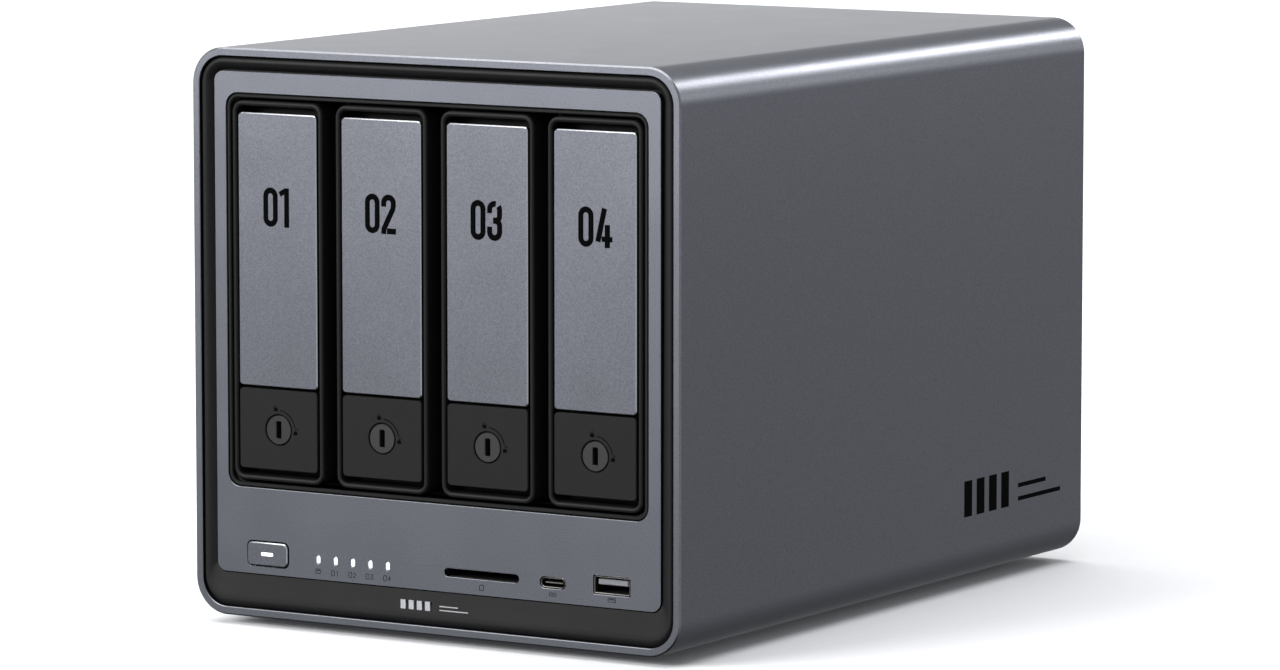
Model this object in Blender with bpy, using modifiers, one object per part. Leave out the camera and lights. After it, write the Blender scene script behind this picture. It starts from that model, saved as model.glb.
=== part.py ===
"""Desktop network storage enclosure with four hot-swap drive trays.

Metres, +Z up. The origin is on the floor under the centre of the case, and the
front looks along -Y. An aluminium sleeve holds a sheet steel drive cage, a
mainboard under it and a fan behind it. Each tray slides out of the front.
"""

import math

import bmesh
import bpy
from mathutils import Matrix, Vector

# Case
BODY_WIDTH = 0.178
BODY_DEPTH = 0.257
BODY_HEIGHT = 0.178
FOOT_HEIGHT = 0.003
WALL = 0.0026
CORNER_RADIUS = 0.0115
EDGE_CHAMFER = 0.0005
GAP = 0.0003
ARC_STEPS = 4

# Bays and trays
BAY_COUNT = 4
BAY_PITCH = 0.0387
BAY_Z = 0.1054
TRAY_WIDTH = 0.0338
TRAY_HEIGHT = 0.1187
TRAY_RADIUS = 0.0038
TRAY_BEAD = 0.00165
TRAY_RECESS = 0.0012
TRAY_FACE_WIDTH = 0.0293
TRAY_REAR_Y = 0.036
TRAY_WALL = 0.0020
DRIVE_HEIGHT = 0.1016
SHEET = 0.0012

# Front plate and what shows in it, as (x, z) centres and (width, height) sizes
PLATE_RECESS = 0.0011
PLATE_THICKNESS = 0.0015
PLATE_HALF_WIDTH = 0.0814
PLATE_BOTTOM = 0.0166
PLATE_TOP = 0.1737
PLATE_RADIUS = 0.0032
BAY_OPENING = (0.1542, 0.1234)
BAY_OPENING_RADIUS = 0.0045
BEZEL_LIP = 0.0012
BUTTON_CENTRE = (-0.0622, 0.0231)
BUTTON_SIZE = (0.0152, 0.0075)
BUTTON_RADIUS = 0.0017
BUTTON_LIGHT = (0.0049, 0.0015)
LIGHT_COUNT = 5
LIGHT_FIRST_X = -0.0433
LIGHT_PITCH = 0.006475
LIGHT_Z = 0.0229
LIGHT_SIZE = (0.0015, 0.0024)
CARD_CENTRE = (0.0172, 0.0228)
CARD_SLOT = (0.0272, 0.00265)
USB_C_CENTRE = (0.0430, 0.0226)
USB_C_SIZE = (0.0090, 0.0032)
USB_A_CENTRE = (0.0641, 0.0234)
USB_A_SIZE = (0.0129, 0.0054)

# Tray face
HANDLE_BOTTOM = 0.0758
HANDLE_TOP = 0.1610
HANDLE_PIVOT = (-0.1245, 0.1575)
LATCH_BOTTOM = 0.0498
LATCH_TOP = 0.0750
LOCK_Z = 0.0624
LOCK_RADIUS = 0.0047
KEY_SLOT = (0.0017, 0.0053)

# Cooling and rear
FAN_SIZE = 0.140
FAN_THICKNESS = 0.025
FAN_HOLE_SPACING = 0.1245
FAN_CENTRE_Z = 0.1060
FAN_BORE = 0.067
BLADE_COUNT = 7
BLADE_CHORD = 0.032
BLADE_PITCH = math.radians(35)
REAR_PANEL_Y = 0.1205
REAR_PANEL_THICKNESS = 0.0016
BOARD_BOTTOM = 0.0160
BOARD_THICKNESS = 0.0016
PORT_BASE = 0.0180
PORT_FACE_Y = 0.1230
BACKPLANE_Y = 0.0450

FRONT = -BODY_DEPTH / 2
REAR = BODY_DEPTH / 2
INNER_HALF_WIDTH = BODY_WIDTH / 2 - WALL
INNER_BOTTOM = FOOT_HEIGHT + WALL
INNER_TOP = FOOT_HEIGHT + BODY_HEIGHT - WALL
INNER_RADIUS = CORNER_RADIUS - WALL
PLATE_FRONT = FRONT + PLATE_RECESS
PLATE_BACK = PLATE_FRONT + PLATE_THICKNESS
BEZEL_BACK = FRONT + 0.0089
TRAY_FRONT = FRONT + TRAY_RECESS
BULKHEAD_FRONT = FRONT + 0.0095
BULKHEAD_BACK = FRONT + 0.0120
CAGE_FRONT = FRONT + 0.0125
CAGE_FLOOR_TOP = BAY_Z - TRAY_HEIGHT / 2 - GAP
CAGE_ROOF_BOTTOM = BAY_Z + TRAY_HEIGHT / 2 + GAP
CAGE_HALF_WIDTH = BAY_PITCH * BAY_COUNT / 2
BOARD_TOP = BOARD_BOTTOM + BOARD_THICKNESS
FAN_BACK = REAR_PANEL_Y - 0.0005
FAN_FRONT = FAN_BACK - FAN_THICKNESS
REAR_PANEL_BACK = REAR_PANEL_Y + REAR_PANEL_THICKNESS

# Columns of each matrix: where an outline's own x, y and depth point.
FACING = {
    "X": Matrix(((0, 0, 1), (1, 0, 0), (0, 1, 0))),
    "Y": Matrix(((1, 0, 0), (0, 0, -1), (0, 1, 0))),
    "Z": Matrix.Identity(3),
}


def clear_scene():
    for old in list(bpy.data.objects):
        bpy.data.objects.remove(old, do_unlink=True)


def new_collection(name):
    made = bpy.data.collections.new(name)
    bpy.context.scene.collection.children.link(made)
    return made


def material(name, colour, roughness, metallic=0.0):
    made = bpy.data.materials.new(name)
    made.use_nodes = True
    shader = made.node_tree.nodes["Principled BSDF"]
    shader.inputs["Base Color"].default_value = (*colour, 1.0)
    shader.inputs["Roughness"].default_value = roughness
    shader.inputs["Metallic"].default_value = metallic
    return made


clear_scene()
PARTS = new_collection("nas_enclosure")
CUTTERS = new_collection("cutters")

ALUMINIUM = (0.20, 0.20, 0.22)
BLACK = (0.02, 0.02, 0.02)
STEEL = (0.45, 0.46, 0.47)
BOARD_GREEN = (0.02, 0.10, 0.06)
NICKEL = (0.62, 0.61, 0.58)
RUBBER = (0.025, 0.025, 0.025)


def place(name, mesh, matrix, finish):
    """A new object for the mesh: a part with its material, or a cutter when finish is None."""
    made = bpy.data.objects.new(name, mesh)
    made.matrix_world = matrix
    if finish is None:
        CUTTERS.objects.link(made)
        made.hide_render = True
        made.display_type = "WIRE"
    else:
        PARTS.objects.link(made)
        mesh.materials.append(material(name, *finish))
    bpy.context.view_layer.update()
    return made


def mesh_from(bm, name):
    bmesh.ops.recalc_face_normals(bm, faces=bm.faces)
    mesh = bpy.data.meshes.new(name)
    bm.to_mesh(mesh)
    bm.free()
    return mesh


def loop(centre, size, radius=0.0, grow=0.0, steps=ARC_STEPS):
    """Counterclockwise outline of a rectangle about centre, with round corners when radius is over 0."""
    half = (size[0] / 2 + grow, size[1] / 2 + grow)
    if radius <= 0:
        signs = ((1, 1), (-1, 1), (-1, -1), (1, -1))
        return [(centre[0] + a * half[0], centre[1] + b * half[1]) for a, b in signs]
    radius = min(radius + grow, half[0], half[1])
    inset = (half[0] - radius, half[1] - radius)
    points = []
    for quarter, (a, b) in enumerate(((1, 1), (-1, 1), (-1, -1), (1, -1))):
        for step in range(steps + 1):
            angle = math.pi / 2 * (quarter + step / steps)
            points.append(
                (
                    centre[0] + a * inset[0] + radius * math.cos(angle),
                    centre[1] + b * inset[1] + radius * math.sin(angle),
                )
            )
    return [p for i, p in enumerate(points) if math.dist(p, points[i - 1]) > 1e-6]


def between(low, high, radius=0.0, grow=0.0, steps=ARC_STEPS):
    """The same outline, from its lowest and highest corner."""
    centre = ((low[0] + high[0]) / 2, (low[1] + high[1]) / 2)
    size = (high[0] - low[0], high[1] - low[1])
    return loop(centre, size, radius, grow, steps)


def ring(centre, radius, sides):
    """A regular polygon turned by half a side, so that no corner is level with its centre."""
    turns = [2 * math.pi * (i + 0.5) / sides for i in range(sides)]
    return [(centre[0] + radius * math.cos(a), centre[1] + radius * math.sin(a)) for a in turns]


def extruded(name, outlines, low, high, axis, finish=None):
    """Flat outlines filled and drawn out from low to high along an axis, as one mesh.

    An outline inside another is a hole. Outlines are (x, z) for Y, (x, y) for Z and (y, z) for X.
    """
    curve = bpy.data.curves.new(name + "_outline", "CURVE")
    curve.dimensions = "2D"
    curve.fill_mode = "BOTH"
    curve.extrude = (high - low) / 2
    for points in outlines:
        spline = curve.splines.new("POLY")
        spline.points.add(len(points) - 1)
        for control, (u, v) in zip(spline.points, points):
            control.co = (u, v, 0.0, 1.0)
        spline.use_cyclic_u = True
    drawn = bpy.data.objects.new(name + "_outline", curve)
    offset = Vector([(low + high) / 2 if axis == letter else 0.0 for letter in "XYZ"])
    drawn.matrix_world = Matrix.Translation(offset) @ FACING[axis].to_4x4()
    CUTTERS.objects.link(drawn)
    bpy.context.view_layer.update()
    graph = bpy.context.evaluated_depsgraph_get()
    filled = bpy.data.meshes.new_from_object(drawn.evaluated_get(graph))
    bm = bmesh.new()
    bm.from_mesh(filled)
    bmesh.ops.remove_doubles(bm, verts=bm.verts, dist=1e-6)
    matrix = drawn.matrix_world.copy()
    bpy.data.objects.remove(drawn, do_unlink=True)
    bpy.data.curves.remove(curve)
    bpy.data.meshes.remove(filled)
    return place(name, mesh_from(bm, name), matrix, finish)


def block(name, low, high, finish=None):
    """A box between two corners, with its origin at its centre."""
    low, high = Vector(low), Vector(high)
    bm = bmesh.new()
    bmesh.ops.create_cube(bm, size=1.0)
    bmesh.ops.scale(bm, vec=high - low, verts=bm.verts)
    return place(name, mesh_from(bm, name), Matrix.Translation((low + high) / 2), finish)


def cylinder(name, start, end, radius, sides=16, finish=None):
    """A round bar from start to end, with its origin at its centre."""
    start, end = Vector(start), Vector(end)
    bm = bmesh.new()
    bmesh.ops.create_cone(
        bm, cap_ends=True, segments=sides, radius1=radius, radius2=radius, depth=(end - start).length
    )
    turn = (end - start).to_track_quat("Z", "Y").to_matrix().to_4x4()
    return place(name, mesh_from(bm, name), Matrix.Translation((start + end) / 2) @ turn, finish)


def combine(target, tools, operation):
    for number, tool in enumerate(tools):
        modifier = target.modifiers.new(f"{operation.lower()}_{number}", "BOOLEAN")
        modifier.operation = operation
        modifier.object = tool
    return target


def cut(target, *tools):
    return combine(target, tools, "DIFFERENCE")


def join(target, *tools):
    return combine(target, tools, "UNION")


def joint_at(name, position, pieces, parent=None):
    """An empty on a joint's axis that carries the joint's pieces."""
    axis = bpy.data.objects.new(name, None)
    axis.empty_display_size = 0.01
    axis.location = position
    PARTS.objects.link(axis)
    bpy.context.view_layer.update()
    for piece in pieces:
        piece.parent = axis
        piece.matrix_parent_inverse = axis.matrix_world.inverted()
    if parent is not None:
        axis.parent = parent
        axis.matrix_parent_inverse = parent.matrix_world.inverted()
    bpy.context.view_layer.update()
    return axis


# ---------------------------------------------------------------- case

ACCESS_CENTRE = (0.0, 0.010)
ACCESS_OPENING = (0.116, 0.126)
ACCESS_LEDGE = 0.006
COVER_THICKNESS = 0.0010
COVER_SCREWS = [(x, ACCESS_CENTRE[1] + y) for x in (-0.0610, 0.0610) for y in (-0.045, 0.045)]
FOOT_RADIUS = 0.010
FOOT_POCKET = 0.0006
FOOT_PLACES = [(x, y) for x in (-0.058, 0.058) for y in (-0.096, 0.096)]


def make_outer_sleeve():
    """Extruded tube with the access opening, its ledge, the feet's pockets and the screw holes."""
    middle_z = FOOT_HEIGHT + BODY_HEIGHT / 2
    outside = loop((0, middle_z), (BODY_WIDTH, BODY_HEIGHT), CORNER_RADIUS, steps=6)
    inside = loop((0, middle_z), (BODY_WIDTH, BODY_HEIGHT), CORNER_RADIUS, -WALL, steps=6)
    sleeve = extruded("outer_sleeve", [outside, inside], FRONT, REAR, "Y", (ALUMINIUM, 0.42, 1.0))
    chamfer = sleeve.modifiers.new("edge_chamfer", "BEVEL")
    chamfer.width = EDGE_CHAMFER
    chamfer.segments = 1
    chamfer.limit_method = "ANGLE"
    chamfer.angle_limit = math.radians(60)
    rebate_top = FOOT_HEIGHT + COVER_THICKNESS + 0.0002
    opening = loop(ACCESS_CENTRE, ACCESS_OPENING, 0.004, steps=3)
    rebate = loop(ACCESS_CENTRE, ACCESS_OPENING, 0.004, ACCESS_LEDGE, steps=3)
    holes = [ring(p, 0.0015, 8) for p in COVER_SCREWS]
    pockets = [ring(p, FOOT_RADIUS + GAP, 16) for p in FOOT_PLACES]
    under = FOOT_HEIGHT - 0.002
    cut(
        sleeve,
        extruded("access_opening", [opening], under, INNER_BOTTOM + 0.001, "Z"),
        extruded("access_rebate", [rebate], under, rebate_top, "Z"),
        extruded("cover_screw_holes", holes, under, INNER_BOTTOM + 0.001, "Z"),
        extruded("foot_pockets", pockets, under, FOOT_HEIGHT + FOOT_POCKET + GAP, "Z"),
    )
    return sleeve


def make_bottom_cover():
    outline = loop(ACCESS_CENTRE, ACCESS_OPENING, 0.004, ACCESS_LEDGE - GAP, steps=3)
    holes = [ring(p, 0.0017, 8) for p in COVER_SCREWS]
    top = FOOT_HEIGHT + COVER_THICKNESS
    extruded("bottom_cover", [outline, *holes], FOOT_HEIGHT, top, "Z", (ALUMINIUM, 0.45, 1.0))


def make_feet():
    for number, centre in enumerate(FOOT_PLACES):
        outline = ring(centre, FOOT_RADIUS, 16)
        extruded(f"foot_{number + 1}", [outline], 0.0, FOOT_HEIGHT + FOOT_POCKET, "Z", (RUBBER, 0.85))


# ---------------------------------------------------------------- front


def centred(centre, size, grow, depth, name, radius=0.0):
    """A cutter through the front, the size of one feature and its clearance."""
    return extruded(name, [loop(centre, size, radius, grow, steps=4)], depth[0], depth[1], "Y")


def light_row():
    """Lowest and highest corner of the row of lights."""
    last_x = LIGHT_FIRST_X + (LIGHT_COUNT - 1) * LIGHT_PITCH
    half = (LIGHT_SIZE[0] / 2, LIGHT_SIZE[1] / 2)
    return (LIGHT_FIRST_X - half[0], LIGHT_Z - half[1]), (last_x + half[0], LIGHT_Z + half[1])


def light_outlines(grow):
    size = LIGHT_SIZE
    return [
        loop((LIGHT_FIRST_X + i * LIGHT_PITCH, LIGHT_Z), size, size[0] / 2, grow, steps=2)
        for i in range(LIGHT_COUNT)
    ]


def make_front_bezel():
    """Black moulding: a frame behind the plate, a rim round it and a lip inside the bay opening."""
    middle = ((0, (INNER_BOTTOM + INNER_TOP) / 2), (2 * INNER_HALF_WIDTH, INNER_TOP - INNER_BOTTOM))
    outside = loop(*middle, INNER_RADIUS, -GAP)
    bay = loop((0, BAY_Z), BAY_OPENING, BAY_OPENING_RADIUS, -GAP - BEZEL_LIP)
    bezel = extruded("front_bezel", [outside, bay], FRONT + 0.0005, BEZEL_BACK, "Y", (BLACK, 0.5))
    low, high = (-PLATE_HALF_WIDTH, PLATE_BOTTOM), (PLATE_HALF_WIDTH, PLATE_TOP)
    seat = [
        between(low, high, PLATE_RADIUS, GAP),
        loop((0, BAY_Z), BAY_OPENING, BAY_OPENING_RADIUS, -GAP),
    ]
    lip = [loop((0, BAY_Z), BAY_OPENING, BAY_OPENING_RADIUS, 0.001)]
    through = (FRONT - 0.001, BEZEL_BACK + 0.001)
    cut(
        bezel,
        extruded("plate_seat", seat, FRONT - 0.001, PLATE_BACK + GAP, "Y"),
        extruded("lip_top", lip, FRONT - 0.002, TRAY_FRONT + 0.0001, "Y"),
        centred(BUTTON_CENTRE, BUTTON_SIZE, GAP, through, "button_hole", BUTTON_RADIUS),
        extruded("light_hole", [between(*light_row(), 0.0008, 0.0003, steps=2)], *through, "Y"),
        centred(CARD_CENTRE, (0.0286, 0.0043), 0.0004, through, "card_hole"),
        centred(USB_C_CENTRE, USB_C_SIZE, 0.0004, through, "usb_c_hole"),
        centred(USB_A_CENTRE, USB_A_SIZE, 0.0004, through, "usb_a_hole"),
    )
    for side in (-1, 1):
        x = sorted((side * 0.050, side * 0.068))
        low = (x[0], BEZEL_BACK - 0.001, 0.0150)
        shelf = block(f"board_shelf_{side}", low, (x[1], BEZEL_BACK + 0.014, 0.0183))
        join(bezel, shelf)
    return bezel


def make_front_plate():
    low, high = (-PLATE_HALF_WIDTH, PLATE_BOTTOM), (PLATE_HALF_WIDTH, PLATE_TOP)
    outlines = [
        between(low, high, PLATE_RADIUS),
        loop((0, BAY_Z), BAY_OPENING, BAY_OPENING_RADIUS),
        loop(BUTTON_CENTRE, BUTTON_SIZE, BUTTON_RADIUS, GAP, steps=3),
        *light_outlines(0.00025),
        loop(CARD_CENTRE, CARD_SLOT, CARD_SLOT[1] / 2, steps=4),
        loop(USB_C_CENTRE, USB_C_SIZE, USB_C_SIZE[1] / 2, 0.0002, steps=4),
        loop(USB_A_CENTRE, USB_A_SIZE, 0.0004, 0.0002, steps=2),
    ]
    extruded("front_plate", outlines, PLATE_FRONT, PLATE_BACK, "Y", (ALUMINIUM, 0.40, 1.0))


def make_power_button():
    """Button body through plate and bezel, a flange that keeps it in, a stem and its light bar."""
    x, z = BUTTON_CENTRE
    flange_front = BEZEL_BACK + GAP
    outline = [loop(BUTTON_CENTRE, BUTTON_SIZE, BUTTON_RADIUS, steps=4)]
    button = extruded(
        "power_button", outline, FRONT + 0.0006, flange_front + 0.001, "Y", (ALUMINIUM, 0.4, 1.0)
    )
    flange = loop(BUTTON_CENTRE, BUTTON_SIZE, BUTTON_RADIUS, 0.0008, steps=2)
    stem_end = flange_front + 0.0042
    join(
        button,
        extruded("button_flange", [flange], flange_front, flange_front + 0.0013, "Y"),
        block("button_stem", (x - 0.002, flange_front, z - 0.0015), (x + 0.002, stem_end, z + 0.0015)),
    )
    pocket = (FRONT - 0.001, FRONT + 0.0051)
    cut(button, centred(BUTTON_CENTRE, BUTTON_LIGHT, 0.00015, pocket, "light_bar_pocket", 0.0006))
    bar = extruded(
        "power_button_light",
        [loop(BUTTON_CENTRE, BUTTON_LIGHT, 0.0006, steps=3)],
        FRONT + 0.0005,
        FRONT + 0.0048,
        "Y",
        ((0.9, 0.9, 0.92), 0.3),
    )
    joint_at("power_button_axis", (x, FRONT, z), [button, bar])


def make_front_electronics():
    """Light pipes on a common bar, the board behind the plate and its three sockets."""
    row_low, row_high = light_row()
    bar = between((row_low[0] - 0.001, LIGHT_Z - 0.001), (row_high[0] + 0.001, LIGHT_Z + 0.001))
    bar_y = (BEZEL_BACK + GAP, BEZEL_BACK + 0.0018)
    pipes = extruded("status_light_pipes", [bar], *bar_y, "Y", ((0.9, 0.9, 0.92), 0.3))
    pip_y = (PLATE_FRONT - 0.0001, bar_y[1] - 0.0005)
    join(pipes, extruded("light_pips", light_outlines(0.0), *pip_y, "Y"))

    board_top = 0.0202
    board_low = (-0.070, BEZEL_BACK + 0.0030, board_top - 0.0016)
    board = block("front_io_board", board_low, (0.0765, FRONT + 0.0385, board_top), (BOARD_GREEN, 0.5))
    x, z = BUTTON_CENTRE
    switch_front = BEZEL_BACK + 0.0057
    lamp_low = (row_low[0] - 0.001, BEZEL_BACK + 0.0035, board_top - 0.0005)
    lamp_high = (row_high[0] + 0.001, BEZEL_BACK + 0.0050, LIGHT_Z + 0.0015)
    join(
        board,
        block(
            "button_switch",
            (x - 0.003, switch_front, board_top - 0.0005),
            (x + 0.003, switch_front + 0.004, z + 0.003),
        ),
        block("lamp_row", lamp_low, lamp_high),
    )

    x, z = CARD_CENTRE
    reader = block(
        "card_reader",
        (x - 0.0143, PLATE_BACK + GAP, z - 0.0022),
        (x + 0.0143, FRONT + 0.0335, z + 0.0021),
        (NICKEL, 0.3, 1.0),
    )
    mouth = ((x - 0.0124, FRONT, z - 0.0012), (x + 0.0124, FRONT + 0.0310, z + 0.0012))
    cut(reader, block("card_mouth", *mouth))

    x, z = USB_C_CENTRE
    half = USB_C_SIZE[1] / 2
    shell = loop(USB_C_CENTRE, USB_C_SIZE, half, steps=4)
    nickel = (NICKEL, 0.3, 1.0)
    socket = extruded("usb_c_port", [shell], PLATE_FRONT + 0.0002, FRONT + 0.0110, "Y", nickel)
    mouth = (FRONT - 0.001, FRONT + 0.0080)
    cut(socket, centred(USB_C_CENTRE, USB_C_SIZE, -0.00035, mouth, "usb_c_mouth", half))
    tongue_low = (x - 0.0033, FRONT + 0.0020, z - 0.00035)
    join(socket, block("usb_c_tongue", tongue_low, (x + 0.0033, FRONT + 0.009, z + 0.00035)))

    x, z = USB_A_CENTRE
    shell = loop(USB_A_CENTRE, USB_A_SIZE, 0.0004, steps=2)
    socket = extruded("usb_a_port", [shell], PLATE_FRONT + 0.0002, FRONT + 0.0165, "Y", nickel)
    mouth = (FRONT - 0.001, FRONT + 0.0135)
    cut(socket, centred(USB_A_CENTRE, USB_A_SIZE, -0.00035, mouth, "usb_a_mouth"))
    tongue_low = (x - 0.0053, FRONT + 0.0022, z + 0.0001)
    join(socket, block("usb_a_tongue", tongue_low, (x + 0.0053, FRONT + 0.0145, z + 0.0018)))


# ---------------------------------------------------------------- trays

HANDLE_BACK = FRONT + 0.0060
TRAY_RAIL = 0.0025
CLIP_HALF_WIDTH = 0.012


def tray_patterns():
    """The pieces of one tray, in the middle of the case, as finished meshes by their plain names."""
    low_z, high_z = BAY_Z - TRAY_HEIGHT / 2, BAY_Z + TRAY_HEIGHT / 2
    half = TRAY_WIDTH / 2

    outside = loop((0, BAY_Z), (TRAY_WIDTH, TRAY_HEIGHT), TRAY_RADIUS)
    inside = loop((0, BAY_Z), (TRAY_WIDTH, TRAY_HEIGHT), TRAY_RADIUS, -TRAY_BEAD)
    frame = extruded("frame", [outside, inside], TRAY_FRONT, BULKHEAD_BACK - 0.0005, "Y")
    vents = [loop((0, BAY_Z + z), (0.022, 0.0030)) for z in (-0.048, 0.048)]
    bulkhead = loop((0, BAY_Z), (TRAY_WIDTH, TRAY_HEIGHT), 0.002, -0.001, steps=2)
    seat_z = BAY_Z - DRIVE_HEIGHT / 2 - 0.0004
    left, right = -half + 0.0004, half - 0.0015
    bottom, top = low_z + 0.0008, high_z - 0.0008
    section = [
        (left, bottom),
        (right, bottom),
        (right, bottom + TRAY_RAIL),
        (CLIP_HALF_WIDTH, bottom + TRAY_RAIL),
        (CLIP_HALF_WIDTH, seat_z),
        (-CLIP_HALF_WIDTH, seat_z),
        (-CLIP_HALF_WIDTH, bottom + TRAY_RAIL),
        (left + TRAY_WALL, bottom + TRAY_RAIL),
        (left + TRAY_WALL, top - TRAY_RAIL),
        (right, top - TRAY_RAIL),
        (right, top),
        (left, top),
    ]
    join(
        frame,
        extruded("bulkhead", [bulkhead, *vents], BULKHEAD_FRONT, BULKHEAD_BACK, "Y"),
        extruded("carriage", [section], BULKHEAD_BACK - 0.0008, TRAY_REAR_Y, "Y"),
    )
    windows = [
        loop((BULKHEAD_BACK + 0.042 + 0.072 * i, BAY_Z + 0.022 * j), (0.062, 0.018))
        for i in (0, 1)
        for j in (-1, 1)
    ]
    pivot_y, pivot_z = HANDLE_PIVOT
    cut(
        frame,
        extruded("side_windows", windows, left - 0.001, left + TRAY_WALL + 0.001, "X"),
        cylinder("pivot_bore", (-0.02, pivot_y, pivot_z), (0.02, pivot_y, pivot_z), 0.0011, 8),
    )

    clip_low = (-CLIP_HALF_WIDTH, BULKHEAD_BACK + 0.010, BAY_Z + DRIVE_HEIGHT / 2 + 0.0004)
    clip_high = (CLIP_HALF_WIDTH, TRAY_REAR_Y - 0.016, top - TRAY_RAIL - GAP)
    clip = block("drive_clip", clip_low, clip_high)

    lever_half = TRAY_FACE_WIDTH / 2 - 0.0005
    lever_z = (HANDLE_BOTTOM + 0.0004, HANDLE_TOP - 0.0004)
    lever = between((-lever_half, lever_z[0]), (lever_half, lever_z[1]), 0.001, steps=2)
    handle = extruded("handle", [lever], FRONT + 0.0028, HANDLE_BACK, "Y")
    knuckle_x, pin_x = lever_half - 0.0002, half - 0.0006
    join(
        handle,
        cylinder("knuckle", (-knuckle_x, pivot_y, pivot_z), (knuckle_x, pivot_y, pivot_z), 0.0012, 12),
        cylinder("pivot_pin", (-pin_x, pivot_y, pivot_z), (pin_x, pivot_y, pivot_z), 0.0008, 8),
    )
    hollow_z = (HANDLE_BOTTOM + HANDLE_TOP) / 2 - 0.004
    hollow_y = (FRONT + 0.004, FRONT + 0.008)
    cut(handle, centred((0, hollow_z), (0.022, 0.066), 0.0, hollow_y, "grip_hollow"))

    face_y = (TRAY_FRONT + 0.0001, FRONT + 0.0025)
    face_half = TRAY_FACE_WIDTH / 2
    face = between((-face_half, HANDLE_BOTTOM), (face_half, HANDLE_TOP), 0.0012, steps=3)
    plate = extruded("handle_plate", [face], *face_y, "Y")

    lower = between((-face_half, LATCH_BOTTOM), (face_half, LATCH_TOP), 0.0012, steps=3)
    barrel_hole = ring((0, LOCK_Z), LOCK_RADIUS + 0.0002, 16)
    latch = extruded("latch_button", [lower, barrel_hole], face_y[0], FRONT + 0.0045, "Y")
    collar = [ring((0, LOCK_Z), LOCK_RADIUS + 0.002, 16), barrel_hole]
    join(latch, extruded("lock_collar", collar, FRONT + 0.0040, FRONT + 0.0072, "Y"))

    lock = extruded("lock", [ring((0, LOCK_Z), LOCK_RADIUS, 16)], face_y[0], FRONT + 0.0070, "Y")
    cut(lock, centred((0, LOCK_Z), KEY_SLOT, 0.0, (FRONT - 0.001, FRONT + 0.0045), "key_slot"))

    plastic = (BLACK, 0.5)
    pieces = (
        (frame, plastic),
        (clip, ((0.05, 0.05, 0.055), 0.5)),
        (handle, plastic),
        (plate, (ALUMINIUM, 0.4, 1.0)),
        (latch, plastic),
        (lock, ((0.03, 0.03, 0.03), 0.4)),
    )
    return pieces


def make_trays():
    """Four trays that share one set of meshes, each with its slide, lever, latch and lock axes."""
    patterns = tray_patterns()
    bpy.context.view_layer.update()
    graph = bpy.context.evaluated_depsgraph_get()
    finished = []
    for pattern, finish in patterns:
        mesh = bpy.data.meshes.new_from_object(pattern.evaluated_get(graph))
        mesh.name = f"tray_{pattern.name}"
        mesh.materials.clear()
        mesh.materials.append(material(mesh.name, *finish))
        finished.append((pattern.name, mesh, pattern.matrix_world.copy()))

    pivot_y, pivot_z = HANDLE_PIVOT
    for number in range(BAY_COUNT):
        x = (number - (BAY_COUNT - 1) / 2) * BAY_PITCH
        tray = f"tray_{number + 1}"
        pieces = {}
        for name, mesh, matrix in finished:
            piece = bpy.data.objects.new(f"{tray}_{name}", mesh)
            piece.matrix_world = Matrix.Translation((x, 0, 0)) @ matrix
            PARTS.objects.link(piece)
            pieces[name] = piece
        bpy.context.view_layer.update()
        carriage = [pieces["frame"], pieces["drive_clip"]]
        slide = joint_at(tray + "_slide_axis", (x, FRONT, BAY_Z), carriage)
        lever = [pieces["handle"], pieces["handle_plate"]]
        joint_at(tray + "_handle_axis", (x, pivot_y, pivot_z), lever, slide)
        press = joint_at(tray + "_latch_axis", (x, FRONT, LOCK_Z), [pieces["latch_button"]], slide)
        joint_at(tray + "_lock_axis", (x, FRONT, LOCK_Z), [pieces["lock"]], press)


# ---------------------------------------------------------------- drive cage


def make_cage():
    """Two side walls, a floor, a roof and three dividers, all of folded steel sheet."""
    steel = (STEEL, 0.45, 1.0)
    wall_y = (CAGE_FRONT - 0.002, REAR_PANEL_Y - 0.0006)
    for side, name in ((-1, "cage_side_left"), (1, "cage_side_right")):
        x = sorted((side * CAGE_HALF_WIDTH, side * (CAGE_HALF_WIDTH + SHEET)))
        outline = between((wall_y[0], INNER_BOTTOM + 0.0006), (wall_y[1], 0.1700))
        wall = extruded(name, [outline], *x, "X", steel)
        shelf = sorted((side * (CAGE_HALF_WIDTH + SHEET / 2), side * 0.0700))
        tab = sorted((side * (CAGE_HALF_WIDTH + SHEET / 2), side * 0.0858))
        join(
            wall,
            block(name + "_board_shelf", (shelf[0], -0.080, 0.0145), (shelf[1], 0.110, 0.0157)),
            block(name + "_rear_tab", (tab[0], wall_y[1] - SHEET, 0.0120), (tab[1], wall_y[1], 0.1660)),
        )
        holes = [ring((side * 0.0820, z), 0.0013, 10) for z in (0.0180, 0.1600)]
        cut(wall, extruded(name + "_tab_holes", holes, 0.110, 0.125, "Y"))

    cage_y = (CAGE_FRONT - 0.002, BACKPLANE_Y - 0.001)
    half = CAGE_HALF_WIDTH - GAP
    vents = [
        loop(((number - 1.5) * BAY_PITCH, y), (0.020, 0.005))
        for number in range(BAY_COUNT)
        for y in (-0.090, -0.050, -0.010, 0.030)
    ]
    outline = between((-half, cage_y[0]), (half, cage_y[1]))
    extruded("cage_floor", [outline, *vents], CAGE_FLOOR_TOP - SHEET, CAGE_FLOOR_TOP, "Z", steel)
    extruded("cage_roof", [outline], CAGE_ROOF_BOTTOM, CAGE_ROOF_BOTTOM + SHEET, "Z", steel)
    for number in (1, 2, 3):
        x = (number - BAY_COUNT / 2) * BAY_PITCH
        low = (CAGE_FRONT, CAGE_FLOOR_TOP + GAP)
        outline = between(low, (cage_y[1], CAGE_ROOF_BOTTOM - GAP))
        slots = [
            loop((-0.070 + 0.072 * i, BAY_Z + 0.034 * j), (0.050, 0.014))
            for i in (0, 1)
            for j in (-1, 0, 1)
        ]
        extruded(f"bay_divider_{number}", [outline, *slots], x - SHEET / 2, x + SHEET / 2, "X", steel)


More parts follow.
